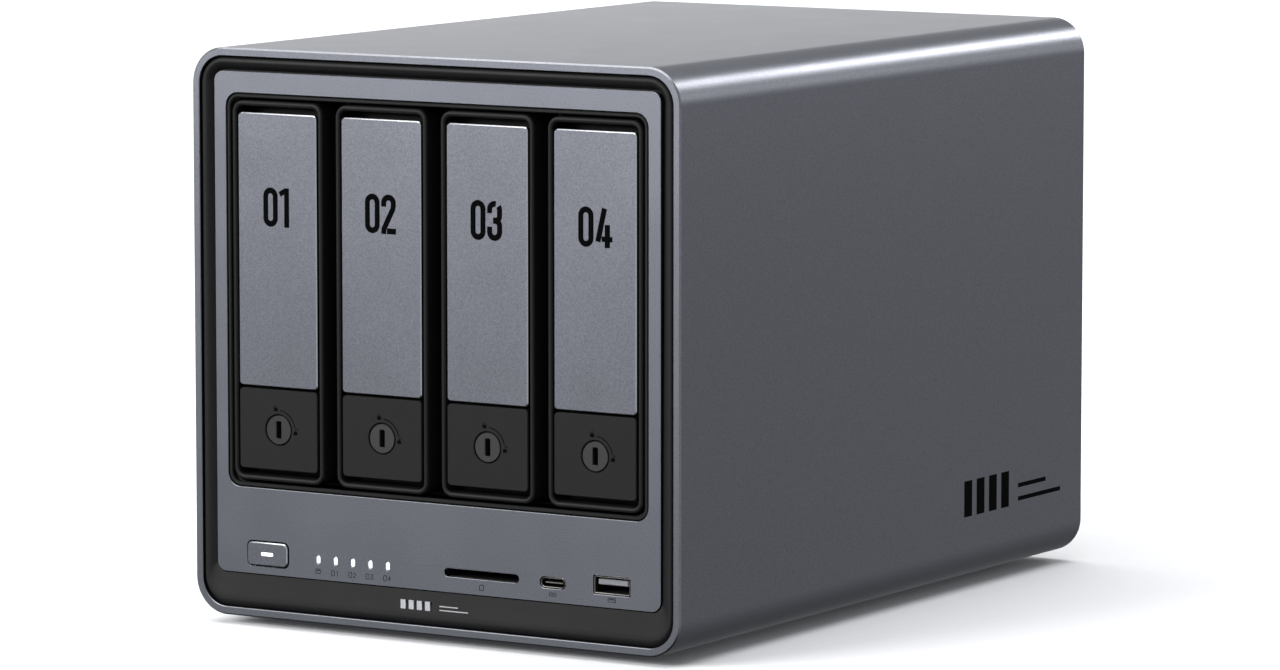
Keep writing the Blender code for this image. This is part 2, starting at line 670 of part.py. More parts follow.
def make_backplane():
    """Board behind the bays with air slots, and a connector soldered on it for each drive."""
    low, high = (-0.0765, BOARD_TOP + GAP), (0.0765, CAGE_ROOF_BOTTOM - 0.001)
    bay_x = [(number - 1.5) * BAY_PITCH for number in range(BAY_COUNT)]
    slots = [loop((x + 0.006, 0.128), (0.018, 0.050)) for x in bay_x]
    slots += [loop((x + 0.006, 0.075), (0.018, 0.040)) for x in bay_x]
    board_y = (BACKPLANE_Y, BACKPLANE_Y + BOARD_THICKNESS)
    board = extruded("backplane_board", [between(low, high), *slots], *board_y, "Y", (BOARD_GREEN, 0.5))
    plugs = [loop((x - 0.009, 0.078), (0.0050, 0.0372)) for x in bay_x]
    join(board, extruded("drive_connectors", plugs, 0.0365, BACKPLANE_Y + 0.0005, "Y"))
    blades = [loop((x - 0.009, 0.078), (0.0022, 0.0330)) for x in bay_x]
    cut(board, extruded("connector_mouths", blades, 0.030, 0.0420, "Y"))


# ---------------------------------------------------------------- electronics

HEATSINK_FINS = 11


def make_mainboard():
    """Board under the bays, with its memory socket, processor and backplane socket soldered on."""
    board = extruded(
        "mainboard",
        [between((-0.0740, -0.0860), (0.0740, REAR_PANEL_Y - 0.0015))],
        BOARD_BOTTOM,
        BOARD_TOP,
        "Z",
        (BOARD_GREEN, 0.5),
    )
    sunk = BOARD_TOP - 0.0005
    join(
        board,
        block("memory_socket", (-0.0360, -0.0195, 0.0108), (0.0360, -0.0115, BOARD_BOTTOM + 0.0005)),
        block("processor", (-0.0170, -0.0050, sunk), (0.0170, 0.0200, BOARD_TOP + 0.0013)),
        block("backplane_socket", (-0.0400, 0.0405, sunk), (0.0400, BACKPLANE_Y - GAP, 0.0290)),
        block("reset_switch", (0.0495, 0.1120, sunk), (0.0545, 0.1160, 0.0240)),
    )

    base_z = BOARD_TOP + 0.0016
    base = (-0.0300, -0.0220, base_z), (0.0300, 0.0370, base_z + 0.003)
    heatsink = block("processor_heatsink", *base, (STEEL, 0.4, 1.0))
    spacing = 0.058 / (HEATSINK_FINS - 1)
    fin_x = [-0.0290 + i * spacing for i in range(HEATSINK_FINS)]
    fins = [loop((x, base_z + 0.0107), (0.0010, 0.0166)) for x in fin_x]
    join(heatsink, extruded("heatsink_fins", fins, -0.0218, 0.0368, "Y"))

    block("memory_module", (-0.0338, -0.0112, 0.0118), (0.0338, 0.0188, 0.0130), (BOARD_GREEN, 0.5))


def port_body(name, x, width, height, depth, finish=(NICKEL, 0.3, 1.0)):
    low = (x - width / 2, PORT_FACE_Y - depth, PORT_BASE)
    return block(name, low, (x + width / 2, PORT_FACE_Y, PORT_BASE + height), finish)


DC_X = -0.0655
NETWORK_X = (-0.0440, -0.0280)
REAR_USB_X = -0.0065
VIDEO_X = 0.0330
RESET_X = 0.0520
RESET_Z = 0.0215
DC_SIZE = (0.0110, 0.0110)
NETWORK_SIZE = (0.0320, 0.0135)
REAR_USB_SIZE = (0.0131, 0.0156)
VIDEO_SIZE = (0.0150, 0.0062)


def make_rear_ports():
    mouth_y = PORT_FACE_Y + 0.001
    inlet = port_body("dc_inlet", DC_X, *DC_SIZE, 0.0140, (BLACK, 0.45))
    centre_z = PORT_BASE + DC_SIZE[1] / 2
    bore_start = (DC_X, PORT_FACE_Y - 0.009, centre_z)
    cut(inlet, cylinder("dc_bore", bore_start, (DC_X, mouth_y, centre_z), 0.0032, 20))
    pin_start = (DC_X, PORT_FACE_Y - 0.010, centre_z)
    join(inlet, cylinder("dc_pin", pin_start, (DC_X, PORT_FACE_Y - 0.001, centre_z), 0.00125, 12))

    sockets = port_body("network_ports", sum(NETWORK_X) / 2, *NETWORK_SIZE, 0.0210)
    mouth_z = PORT_BASE + 0.0075
    mouths = [loop((x, mouth_z), (0.0118, 0.0068)) for x in NETWORK_X]
    latches = [loop((x, mouth_z - 0.0042), (0.0062, 0.0030)) for x in NETWORK_X]
    cut(
        sockets,
        extruded("network_mouths", mouths, PORT_FACE_Y - 0.013, mouth_y, "Y"),
        extruded("network_latch_notches", latches, PORT_FACE_Y - 0.0125, mouth_y, "Y"),
    )

    ports = port_body("rear_usb_ports", REAR_USB_X, *REAR_USB_SIZE, 0.0175)
    centres = [(REAR_USB_X, PORT_BASE + 0.0040), (REAR_USB_X, PORT_BASE + 0.0116)]
    mouths = [loop(centre, (0.0123, 0.0048)) for centre in centres]
    cut(ports, extruded("usb_mouths", mouths, PORT_FACE_Y - 0.012, mouth_y, "Y"))
    tongues = [loop((cx, cz + 0.0010), (0.0106, 0.0017)) for cx, cz in centres]
    join(ports, extruded("usb_tongues", tongues, PORT_FACE_Y - 0.0125, PORT_FACE_Y - 0.0010, "Y"))

    video = port_body("video_port", VIDEO_X, *VIDEO_SIZE, 0.0120)
    centre = (VIDEO_X, PORT_BASE + VIDEO_SIZE[1] / 2)
    mouth = [loop(centre, (0.0140, 0.0046))]
    cut(video, extruded("video_mouth", mouth, PORT_FACE_Y - 0.009, mouth_y, "Y"))
    tongue = [loop(centre, (0.0105, 0.0012))]
    tongue_y = (PORT_FACE_Y - 0.0095, PORT_FACE_Y - 0.001)
    join(video, extruded("video_tongue", tongue, *tongue_y, "Y"))

    start, end = (RESET_X, 0.1167, RESET_Z), (RESET_X, REAR_PANEL_BACK, RESET_Z)
    button = cylinder("reset_button", start, end, 0.0013, 16, (BLACK, 0.5))
    start, end = (RESET_X, 0.1176, RESET_Z), (RESET_X, 0.1190, RESET_Z)
    join(button, cylinder("reset_flange", start, end, 0.0024, 16))
    joint_at("reset_button_axis", (RESET_X, REAR_PANEL_Y, RESET_Z), [button])


# ---------------------------------------------------------------- cooling and back

GRILLE_RADIUS = 0.064
GRILLE_SLOT = 0.0065
GRILLE_BAR = 0.0065
PANEL_SCREWS = [(side * 0.0820, z) for side in (-1, 1) for z in (0.0180, 0.1600)]
FAN_SCREWS = [
    (a * FAN_HOLE_SPACING / 2, FAN_CENTRE_Z + b * FAN_HOLE_SPACING / 2) for a in (-1, 1) for b in (-1, 1)
]


def grille_slots(radius):
    """Vertical slots that fill a circle, each split by a bar at mid height."""
    slots = []
    pitch = GRILLE_SLOT + GRILLE_BAR
    count = int(radius / pitch)
    for number in range(-count, count + 1):
        x = number * pitch
        outer_x = abs(x) + GRILLE_SLOT / 2
        reach = math.sqrt(max(radius**2 - outer_x**2, 0))
        if reach < 0.010:
            continue
        height = reach - 0.002
        for side in (-1, 1):
            slots.append(loop((x, FAN_CENTRE_Z + side * (0.002 + height / 2)), (GRILLE_SLOT, height)))
    return slots


def make_rear_panel():
    middle = ((0, (INNER_BOTTOM + INNER_TOP) / 2), (2 * INNER_HALF_WIDTH, INNER_TOP - INNER_BOTTOM))
    outline = loop(*middle, INNER_RADIUS, -GAP)
    centre_z = PORT_BASE + DC_SIZE[1] / 2
    sized = [(DC_X, DC_SIZE), (REAR_USB_X, REAR_USB_SIZE), (VIDEO_X, VIDEO_SIZE)]
    sized.append((sum(NETWORK_X) / 2, NETWORK_SIZE))
    ports = [loop((x, PORT_BASE + size[1] / 2), size, 0.0, GAP) for x, size in sized]
    holes = [ring((RESET_X, RESET_Z), 0.0016, 16)]
    holes += [ring(p, 0.0017, 8) for p in PANEL_SCREWS]
    holes += [ring(p, 0.0022, 8) for p in FAN_SCREWS]
    outlines = [outline, *ports, *holes, *grille_slots(GRILLE_RADIUS)]
    extruded("rear_panel", outlines, REAR_PANEL_Y, REAR_PANEL_BACK, "Y", (BLACK, 0.5))

    outline = loop((0, FAN_CENTRE_Z), (FAN_SIZE + 0.003, FAN_SIZE + 0.001), 0.006, steps=3)
    filter_y = (REAR_PANEL_BACK + 0.0024, REAR - 0.0018)
    cover = extruded("rear_filter", [outline, *grille_slots(GRILLE_RADIUS)], *filter_y, "Y", (BLACK, 0.6))
    joint_at("rear_filter_axis", (0, REAR, FAN_CENTRE_Z), [cover])


def make_fan():
    """Square frame with four struts to the motor seat, and a seven-bladed rotor on the Y axis."""
    centre = (0, FAN_CENTRE_Z)
    outline = loop(centre, (FAN_SIZE, FAN_SIZE), 0.006, steps=3)
    holes = [ring(p, 0.0020, 8) for p in FAN_SCREWS]
    frame = extruded(
        "fan_frame", [outline, ring(centre, FAN_BORE, 40), *holes], FAN_FRONT, FAN_BACK, "Y", (BLACK, 0.5)
    )
    reach, half = FAN_BORE + 0.001, 0.002
    cross = [(reach, half), (half, half), (half, reach), (-half, reach), (-half, half), (-reach, half)]
    cross += [(-x, -z) for x, z in cross]
    struts = [(x, FAN_CENTRE_Z + z) for x, z in cross]
    spider = extruded("struts", [struts], FAN_FRONT + 0.0004, FAN_FRONT + 0.0026, "Y")
    seat = extruded("motor_seat", [ring(centre, 0.021, 32)], FAN_FRONT, FAN_FRONT + 0.003, "Y")
    join(frame, spider, seat)

    hub_y = (FAN_FRONT + 0.0035, FAN_BACK - 0.0010)
    rotor = extruded("fan_rotor", [ring(centre, 0.0205, 32)], *hub_y, "Y", ((0.03, 0.03, 0.03), 0.45))
    tip = FAN_BORE - 0.0012
    half_chord = BLADE_CHORD / 2
    middle_y = (hub_y[0] + hub_y[1]) / 2
    blades = []
    for number in range(BLADE_COUNT):
        edge = [half_chord * (1 - 2 * step / 4) for step in range(5)]
        outer = [(math.sqrt(tip**2 - (w * math.cos(BLADE_PITCH)) ** 2), w) for w in edge]
        outline = [*outer, (0.0165, -0.008), (0.0165, 0.008)]
        blade = extruded(f"blade_{number + 1}", [outline], -0.0008, 0.0008, "Z")
        turn = Matrix.Rotation(2 * math.pi * number / BLADE_COUNT, 4, "Y")
        pitch = Matrix.Rotation(math.pi / 2 - BLADE_PITCH, 4, "X")
        blade.matrix_world = Matrix.Translation((0, middle_y, FAN_CENTRE_Z)) @ turn @ pitch
        blades.append(blade)
    bpy.context.view_layer.update()
    join(rotor, *blades)
    joint_at("fan_axis", (0, middle_y, FAN_CENTRE_Z), [rotor])


make_outer_sleeve()
make_bottom_cover()
make_feet()
make_front_bezel()
make_front_plate()
make_power_button()
make_front_electronics()
make_trays()
make_cage()
make_backplane()
make_mainboard()
make_rear_ports()
make_rear_panel()
make_fan()
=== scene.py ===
import math

import bmesh
import bpy
import numpy as np
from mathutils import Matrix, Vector


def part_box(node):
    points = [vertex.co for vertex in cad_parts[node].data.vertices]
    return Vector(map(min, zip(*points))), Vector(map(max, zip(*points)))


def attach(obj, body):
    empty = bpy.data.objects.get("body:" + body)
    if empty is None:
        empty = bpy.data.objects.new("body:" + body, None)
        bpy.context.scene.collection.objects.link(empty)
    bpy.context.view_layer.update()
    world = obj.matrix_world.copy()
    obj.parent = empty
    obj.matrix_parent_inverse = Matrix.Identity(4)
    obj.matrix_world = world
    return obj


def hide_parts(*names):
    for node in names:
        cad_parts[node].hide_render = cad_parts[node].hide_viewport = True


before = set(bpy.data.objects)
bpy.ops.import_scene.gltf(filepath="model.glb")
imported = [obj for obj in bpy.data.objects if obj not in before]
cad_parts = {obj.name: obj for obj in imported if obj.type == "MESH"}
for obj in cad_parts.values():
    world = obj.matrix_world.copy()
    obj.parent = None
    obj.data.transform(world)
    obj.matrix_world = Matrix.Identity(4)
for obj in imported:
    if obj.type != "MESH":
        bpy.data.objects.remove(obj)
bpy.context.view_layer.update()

# ---------------------------------------------------------------- studio
# A matt white table stands under six soft boxes: the key at the left front, two wide ones
# high over the case and its rear, and three weak ones behind that the top and side mirror.

scene = bpy.context.scene
scene.view_settings.view_transform = "Standard"
AZIMUTH = math.radians(31.676)
ELEVATION = math.radians(6.678)
LENS = 183.41
EYE = (1.09324, -1.77902, 0.32757)
MIDDLE = Vector((0, 0, 0.09))

towards_eye = Vector(
    (
        math.sin(AZIMUTH) * math.cos(ELEVATION),
        -math.cos(AZIMUTH) * math.cos(ELEVATION),
        math.sin(ELEVATION),
    )
)
lens = bpy.data.cameras.new("camera")
lens.lens = LENS
lens.sensor_width = 36
camera = bpy.data.objects.new("camera", lens)
camera.location = EYE
camera.rotation_euler = (-towards_eye).to_track_quat("-Z", "Y").to_euler()
scene.collection.objects.link(camera)
scene.camera = camera


def linear(code):
    """An sRGB hex colour as the linear red, green, blue and alpha that a shader takes."""
    part = np.array([int(code[i : i + 2], 16) for i in (1, 3, 5)]) / 255
    return (*np.where(part <= 0.04045, part / 12.92, ((part + 0.055) / 1.055) ** 2.4), 1.0)


def add(tree, kind, sockets=(), **settings):
    """Adds a node with its settings, and gives each socket a value or another node's output."""
    node = tree.nodes.new("ShaderNode" + kind)
    for key, value in settings.items():
        setattr(node, key, value)
    for key, value in dict(sockets).items():
        if isinstance(value, bpy.types.NodeSocket):
            tree.links.new(value, node.inputs[key])
        else:
            node.inputs[key].default_value = value
    return node


def soft_box(name, place, size, power):
    """A rectangular lamp at place that faces the middle of the case."""
    lamp = bpy.data.lights.new(name, "AREA")
    lamp.shape = "RECTANGLE"
    lamp.size, lamp.size_y = size
    lamp.energy = power
    stand = bpy.data.objects.new(name, lamp)
    stand.location = place
    stand.rotation_euler = (MIDDLE - Vector(place)).to_track_quat("-Z", "Y").to_euler()
    scene.collection.objects.link(stand)


soft_box("key", (-0.85, -1.55, 0.75), (1.1, 0.7), 40)
soft_box("over", (-0.2, -0.1, 2.4), (3.0, 3.0), 60)
soft_box("back", (-1.0, 2.05, 0.40), (1.3, 0.5), 2.4)
soft_box("edge", (0.55, 1.75, 1.0), (0.3, 0.4), 7)
soft_box("rear", (-0.2, 1.4, 2.5), (2.6, 1.2), 11)
soft_box("side", (1.3, 1.7, 0.55), (0.7, 0.5), 2)

# The camera sees the studio as white; the case sees a dim grey room that darkens downwards.
studio = bpy.data.worlds.new("studio")
studio.use_nodes = True
room = studio.node_tree.nodes["Background"]
room.inputs["Color"].default_value = linear("#F2F4F8")
seen = add(studio.node_tree, "LightPath")
looking = add(studio.node_tree, "TexCoord").outputs["Generated"]
heading = add(studio.node_tree, "SeparateXYZ", {0: looking})
darkening = {"From Min": -0.75, "From Max": -0.2, "To Min": 0.05, "To Max": 0.42}
height = add(studio.node_tree, "MapRange", {"Value": heading.outputs["Z"], **darkening})
by_camera = {"Factor": seen.outputs["Is Camera Ray"], "A": height.outputs[0], "B": 1.4}
strength = add(studio.node_tree, "Mix", by_camera)
studio.node_tree.links.new(strength.outputs[0], room.inputs["Strength"])
scene.world = studio

TABLE_RADIUS = 1.25
TABLE_SIDES = 64
around = np.linspace(0, 2 * math.pi, TABLE_SIDES, endpoint=False)
rim = TABLE_RADIUS * np.c_[np.cos(around), np.sin(around), np.zeros(TABLE_SIDES)]
table = bpy.data.meshes.new("table")
table.from_pydata(rim.tolist(), [], [list(range(TABLE_SIDES))])
table_top = bpy.data.objects.new("table", table)
paper = bpy.data.materials.new("white_paper_backdrop")
paper.use_nodes = True
paper_shader = paper.node_tree.nodes["Principled BSDF"]
fibre = add(paper.node_tree, "TexNoise", {"Scale": 900.0, "Detail": 3.0})
paper_tone = add(paper.node_tree, "ValToRGB", {"Fac": fibre.outputs[0]})
paper_tone.color_ramp.elements[0].color = linear("#F1F2F4")
paper_tone.color_ramp.elements[1].color = linear("#F8F8F9")
paper.node_tree.links.new(paper_tone.outputs["Color"], paper_shader.inputs["Base Color"])
paper_shader.inputs["Roughness"].default_value = 0.9
paper_shader.inputs["Emission Color"].default_value = linear("#FFFFFF")
paper_shader.inputs["Emission Strength"].default_value = 0.02
paper_shader.inputs["Specular IOR Level"].default_value = 0.1
table.materials.append(paper)
scene.collection.objects.link(table_top)
table_top.visible_glossy = False

# ---------------------------------------------------------------- outer sleeve
# The case is one length of aluminium extrusion, blasted with fine beads and anodised
# a cool grey. Both ends are cut to a half-millimetre chamfer all round; the front chamfers,
# outside and in, are milled paler.

sleeve_low, sleeve_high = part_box("outer_sleeve")
FRONT = sleeve_low.y
REAR = sleeve_high.y
WALL = 0.0026
SLEEVE_RADIUS = 0.0115
SLEEVE_SIZE = (sleeve_high.x - sleeve_low.x, sleeve_high.z - sleeve_low.z)
SLEEVE_MIDDLE = (0.0, (sleeve_low.z + sleeve_high.z) / 2)
GAP = 0.0003
CREASE = math.radians(35)
CLOUD = 0.02


def outline(width, height, radius, steps=8):
    """A round-cornered rectangle about the origin as rows of (x, z), anticlockwise from the right.

    Each corner's centre lies the radius in from both sides, and its arc turns a right angle.
    """
    width, height, radius = (np.asarray(v, float)[..., None] for v in (width, height, radius))
    radius = np.minimum(radius, 0.499 * np.minimum(width, height))
    quarter = np.repeat(np.arange(4), steps + 1)
    angle = (quarter + np.tile(np.linspace(0, 1, steps + 1), 4)) * np.pi / 2
    side_x = np.array([1, -1, -1, 1])[quarter]
    side_z = np.array([1, 1, -1, -1])[quarter]
    x = side_x * (width / 2 - radius) + radius * np.cos(angle)
    z = side_z * (height / 2 - radius) + radius * np.sin(angle)
    return np.stack([x, z], -1)


def quads(rows, columns, closed=False):
    """The four corners of each cell of a grid that wraps round its columns, and its rows too if closed."""
    row = np.arange(rows if closed else rows - 1)[:, None]
    column = np.arange(columns)[None]
    after, beside = (row + 1) % rows, (column + 1) % columns
    cells = [row * columns + column, after * columns + column]
    cells += [after * columns + beside, row * columns + beside]
    return np.stack(np.broadcast_arrays(*cells), -1).reshape(-1, 4)


def shell_of(grid, closed=False, bright=()):
    """A grid of points as a closed shell: its points, its faces and each face's finish.

    The first and last row end in a flat face, or join if closed. Rows named bright take finish 1.
    """
    rows, columns = grid.shape[:2]
    faces = quads(rows, columns, closed)
    marks = np.isin(np.arange(len(faces)) // columns, bright).astype(int)
    faces = faces.tolist()
    if not closed:
        faces += [list(range(columns)), list(range(rows * columns - 1, (rows - 1) * columns - 1, -1))]
        marks = np.append(marks, [0, 0])
    return grid.reshape(-1, 3), faces, marks


def carried(centre, size, radius, profile, closed=False, bright=(), steps=8):
    """A profile carried round a round-cornered rectangle that faces the front.

    Row i of the profile is (grow, y): the rectangle with each side moved out by grow, at depth y.
    """
    grow, depth = np.array(profile, float).T
    loops = outline(size[0] + 2 * grow, size[1] + 2 * grow, np.maximum(radius + grow, 1e-5), steps)
    y = np.broadcast_to(depth[:, None], loops.shape[:2])
    grid = np.stack([centre[0] + loops[..., 0], y, centre[1] + loops[..., 1]], -1)
    return shell_of(grid, closed, bright)


def turned(centre, radius, profile, steps=8):
    """A profile carried round a circle, for a round piece that faces the front."""
    return carried(centre, (2 * radius, 2 * radius), radius, profile, steps=steps)


def fit(piece, body, slot, *nodes):
    """Mounts a piece on a body and hides the plain solids that it stands for; its slot is not used."""
    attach(piece, body)
    if nodes:
        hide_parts(*nodes)


def build(name, shells, materials, *place):
    """One object from closed shells, smooth except where two faces meet at more than CREASE.

    The place, if given, is what fit takes: a body, a slot and the solids that it stands for.
    """
    starts = np.cumsum([0] + [len(points) for points, _, _ in shells])
    faces = [
        [corner + int(start) for corner in face]
        for (_, shell_faces, _), start in zip(shells, starts)
        for face in shell_faces
    ]
    mesh = bpy.data.meshes.new(name)
    mesh.from_pydata(np.concatenate([points for points, _, _ in shells]).tolist(), [], faces)
    mesh.polygons.foreach_set("material_index", np.concatenate([marks for _, _, marks in shells]))
    mesh.polygons.foreach_set("use_smooth", np.ones(len(faces), bool))
    mesh.set_sharp_from_angle(angle=CREASE)
    for finish in materials:
        mesh.materials.append(finish)
    piece = bpy.data.objects.new(name, mesh)
    scene.collection.objects.link(piece)
    if place:
        fit(piece, *place)
    return piece


def coat(finish, *nodes):
    """Gives carried-over solids their finish."""
    for node in nodes:
        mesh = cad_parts[node].data
        mesh.materials.clear()
        mesh.materials.append(finish)


def shown(shell, matrix):
    """A shell turned by a three by three matrix, for a piece that doesn't face the front."""
    points, faces, marks = shell
    return points @ np.array(matrix, float).T, faces, marks


def carve(piece, shells):
    """Cuts closed shells out of a piece, and keeps the result as its mesh."""
    tool = build("tool", shells, [])
    cut = piece.modifiers.new("cut", "BOOLEAN")
    cut.object = tool
    bpy.context.view_layer.update()
    whole = piece.evaluated_get(bpy.context.evaluated_depsgraph_get())
    carved = bpy.data.meshes.new_from_object(whole)
    piece.modifiers.clear()
    piece.data = carved
    carved.set_sharp_from_angle(angle=CREASE)
    bpy.data.objects.remove(tool)


def grained(name, dark, light, grain, rough, relief, metallic=0.0, stretch=(1, 1, 1), sheen=0.5):
    """A surface whose tone and height follow a fine grain, and whose gloss follows a slow cloud.

    Grain and CLOUD are sizes in metres, and stretch scales the grain along x, y and z. The sheen
    is how much a bare plastic or paint mirrors, with 0.5 for a common one.
    """
    made = bpy.data.materials.new(name)
    made.use_nodes = True
    tree = made.node_tree
    shader = tree.nodes["Principled BSDF"]
    place = add(tree, "TexCoord").outputs["Object"]
    laid = add(tree, "Mapping", {"Vector": place, "Scale": stretch}).outputs["Vector"]
    grit = add(tree, "TexNoise", {"Vector": laid, "Scale": 1 / grain, "Detail": 2.0})
    slow = add(tree, "TexNoise", {"Vector": place, "Scale": 1 / CLOUD, "Detail": 3.0})
    tone = add(tree, "ValToRGB", {"Fac": grit.outputs[0]})
    tone.color_ramp.elements[0].position = 0.32
    tone.color_ramp.elements[0].color = linear(dark)
    tone.color_ramp.elements[1].position = 0.68
    tone.color_ramp.elements[1].color = linear(light)
    polish = {"From Min": 0.3, "From Max": 0.7, "To Min": rough[0], "To Max": rough[1]}
    gloss = add(tree, "MapRange", {"Value": slow.outputs[0], **polish})
    bump = add(tree, "Bump", {"Height": grit.outputs[0], "Distance": relief})
    tree.links.new(tone.outputs["Color"], shader.inputs["Base Color"])
    tree.links.new(gloss.outputs[0], shader.inputs["Roughness"])
    tree.links.new(bump.outputs["Normal"], shader.inputs["Normal"])
    shader.inputs["Metallic"].default_value = metallic
    shader.inputs["Specular IOR Level"].default_value = sheen
    return made


# Bead blasting leaves pits of about 0.1 mm, drawn at 0.35 mm so that the sparkle shows.
blasted = grained(
    "bead_blasted_anodised_aluminium", "#6C6E75", "#82848C", 0.00035, (0.335, 0.355), 6e-6, 1.0
)
# The diamond cut is almost a mirror, with a faint unevenness that keeps it from a flat white.
diamond_cut = grained("diamond_cut_aluminium", "#D9DBE0", "#F2F3F6", 0.0005, (0.14, 0.2), 1e-6, 1.0)
# The sleeve's own rim is milled, duller than the cut edges of the small faces.
milled = grained("milled_aluminium_rim", "#8F9196", "#A6A8AD", 0.0005, (0.26, 0.34), 2e-6, 1.0)

CUT = 0.0005
sleeve_profile = [
    (-CUT, FRONT),
    (0, FRONT + CUT),
    (0, REAR - CUT),
    (-CUT, REAR),
    (-WALL + 0.0003, REAR),
    (-WALL, REAR - 0.0003),
    (-WALL, FRONT + 0.0002),
    (-WALL + 0.0002, FRONT),
]
sleeve = build(
    "sleeve",
    [carried(SLEEVE_MIDDLE, SLEEVE_SIZE, SLEEVE_RADIUS, sleeve_profile, True, (0, 6), 16)],
    [blasted, milled],
)

# Underneath, a stepped opening takes the cover flush, and shallow pockets hold the feet.
FACES_DOWN = ((1, 0, 0), (0, 0, -1), (0, 1, 0))
UNDER = sleeve_low.z
ACCESS_MIDDLE = (0.0, -0.010)
ACCESS_SIZE = (0.116, 0.126)
LEDGE = 0.006
POCKET_RADIUS = 0.0103
FOOT_PLACES = [(x, z) for x in (-0.058, 0.058) for z in (-0.096, 0.096)]
step_profile = [
    (LEDGE, UNDER - 0.002),
    (LEDGE, UNDER + 0.0012),
    (0, UNDER + 0.0012),
    (0, UNDER + WALL + 0.001),
]
pocket_profile = [(0, UNDER - 0.002), (0, UNDER + 0.0009)]
hollows = [carried(ACCESS_MIDDLE, ACCESS_SIZE, 0.004, step_profile)]
hollows += [turned(place, POCKET_RADIUS, pocket_profile) for place in FOOT_PLACES]
carve(sleeve, [shown(shell, FACES_DOWN) for shell in hollows])
fit(sleeve, "case", "sleeve_aluminium", "outer_sleeve")

# ---------------------------------------------------------------- front bezel
# A black ABS moulding closes the sleeve's mouth: a dished border round the metal plate with
# a wide chin below, a web behind the plate for the sockets, and a lip round the bays.

plate_low, plate_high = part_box("front_plate")
PLATE_SIZE = (plate_high.x - plate_low.x, plate_high.z - plate_low.z)
PLATE_MIDDLE = (0.0, (plate_low.z + plate_high.z) / 2)
PLATE_RADIUS = 0.0032
BEZEL_BACK = FRONT + 0.0089
BAY_MIDDLE = (0.0, 0.1054)
BAY_SIZE = (0.1542, 0.1234)
BAY_RADIUS = 0.0045
# Depth in millimetres behind the sleeve's mouth, at steps from the mouth to the plate's edge.
BORDER_SIDE = ([0, 0.08, 0.18, 0.36, 0.5, 0.65, 0.82, 1], [1.5, 0.8, 0.45, 0.3, 0.45, 1.0, 2.0, 3.0])
BORDER_CHIN = ([0, 0.05, 0.1, 0.155, 0.3, 0.6, 1], [1.5, 0.95, 0.6, 0.4, 0.5, 0.95, 1.5])
CHIN_BLEND = 0.010

# Spark-eroded moulds give ABS a fine matt leather of about 0.15 mm, drawn at 0.25 mm.
abs_black = grained("moulded_black_abs", "#0E0E0F", "#161617", 0.00025, (0.52, 0.58), 5e-6, sheen=0.17)


def border():
    """The dished border: loops that pass in even steps from the sleeve's mouth to the plate's edge.

    The depth at each step comes from the side or the chin profile, mixed by how low the point lies.
    """
    across = np.array([0, 0.03, 0.06, 0.1, 0.155, 0.22, 0.29, 0.36, 0.44, 0.53, 0.62, 0.72, 0.86, 1])
    mouth = outline(SLEEVE_SIZE[0] - 2 * (WALL + GAP), SLEEVE_SIZE[1] - 2 * (WALL + GAP), 0.0086, 12)
    mouth = mouth + np.array(SLEEVE_MIDDLE)
    edge = outline(PLATE_SIZE[0] + 2 * GAP, PLATE_SIZE[1] + 2 * GAP, PLATE_RADIUS + GAP, 12)
    edge = edge + np.array(PLATE_MIDDLE)
    loops = mouth + (edge - mouth) * across[:, None, None]
    low = np.clip((plate_low.z + CHIN_BLEND - loops[..., 1]) / CHIN_BLEND, 0, 1)
    low = low * low * (3 - 2 * low)
    side = np.interp(across, *BORDER_SIDE)[:, None]
    chin = np.interp(across, *BORDER_CHIN)[:, None]
    depth = FRONT + (side + (chin - side) * low) / 1000
    under = outline(PLATE_SIZE[0] - 0.008, PLATE_SIZE[1] - 0.008, 0.001, 12) + np.array(PLATE_MIDDLE)
    loops = np.concatenate([loops, [edge, under, under, mouth]])
    seat = np.array([0.0031, 0.0031, BEZEL_BACK - FRONT, BEZEL_BACK - FRONT])[:, None] + FRONT
    depth = np.concatenate([depth, np.broadcast_to(seat, (4, depth.shape[1]))])
    grid = np.stack([loops[..., 0], depth, loops[..., 1]], -1)[::-1]
    return shell_of(grid, closed=True)


def flat(outlines, front, back, chamfer=0.0):
    """A plate that faces the front, from outlines of (x, z) rows, where an inner one is a hole.

    It fills from front to back, and the chamfer cuts every edge at 45 degrees. Front cuts take finish 1.
    """
    curve = bpy.data.curves.new("outlines", "CURVE")
    curve.dimensions = "2D"
    curve.fill_mode = "BOTH"
    curve.extrude = (back - front) / 2 - chamfer
    curve.bevel_depth = chamfer
    curve.bevel_resolution = 0
    curve.offset = -chamfer
    for rows in outlines:
        spline = curve.splines.new("POLY")
        spline.points.add(len(rows) - 1)
        spline.points.foreach_set("co", np.c_[rows, np.zeros(len(rows)), np.ones(len(rows))].ravel())
        spline.use_cyclic_u = True
    drawn = bpy.data.objects.new("outlines", curve)
    filled = bpy.data.meshes.new_from_object(drawn)
    shape = bmesh.new()
    shape.from_mesh(filled)
    bmesh.ops.remove_doubles(shape, verts=shape.verts, dist=1e-6)
    bmesh.ops.recalc_face_normals(shape, faces=shape.faces)
    shape.verts.index_update()
    points = np.array([vertex.co for vertex in shape.verts])
    faces = [[vertex.index for vertex in face.verts] for face in shape.faces]
    slope = np.array([face.normal.z for face in shape.faces])
    shape.free()
    bpy.data.objects.remove(drawn)
    bpy.data.curves.remove(curve)
    bpy.data.meshes.remove(filled)
    middle = (front + back) / 2
    points = np.stack([points[:, 0], middle - points[:, 2], points[:, 1]], -1)
    return points, faces, ((slope > 0.3) & (slope < 0.95)).astype(int)


def at(centre, rows):
    """Rows of points moved by the same offset."""
    return rows + np.array(centre)


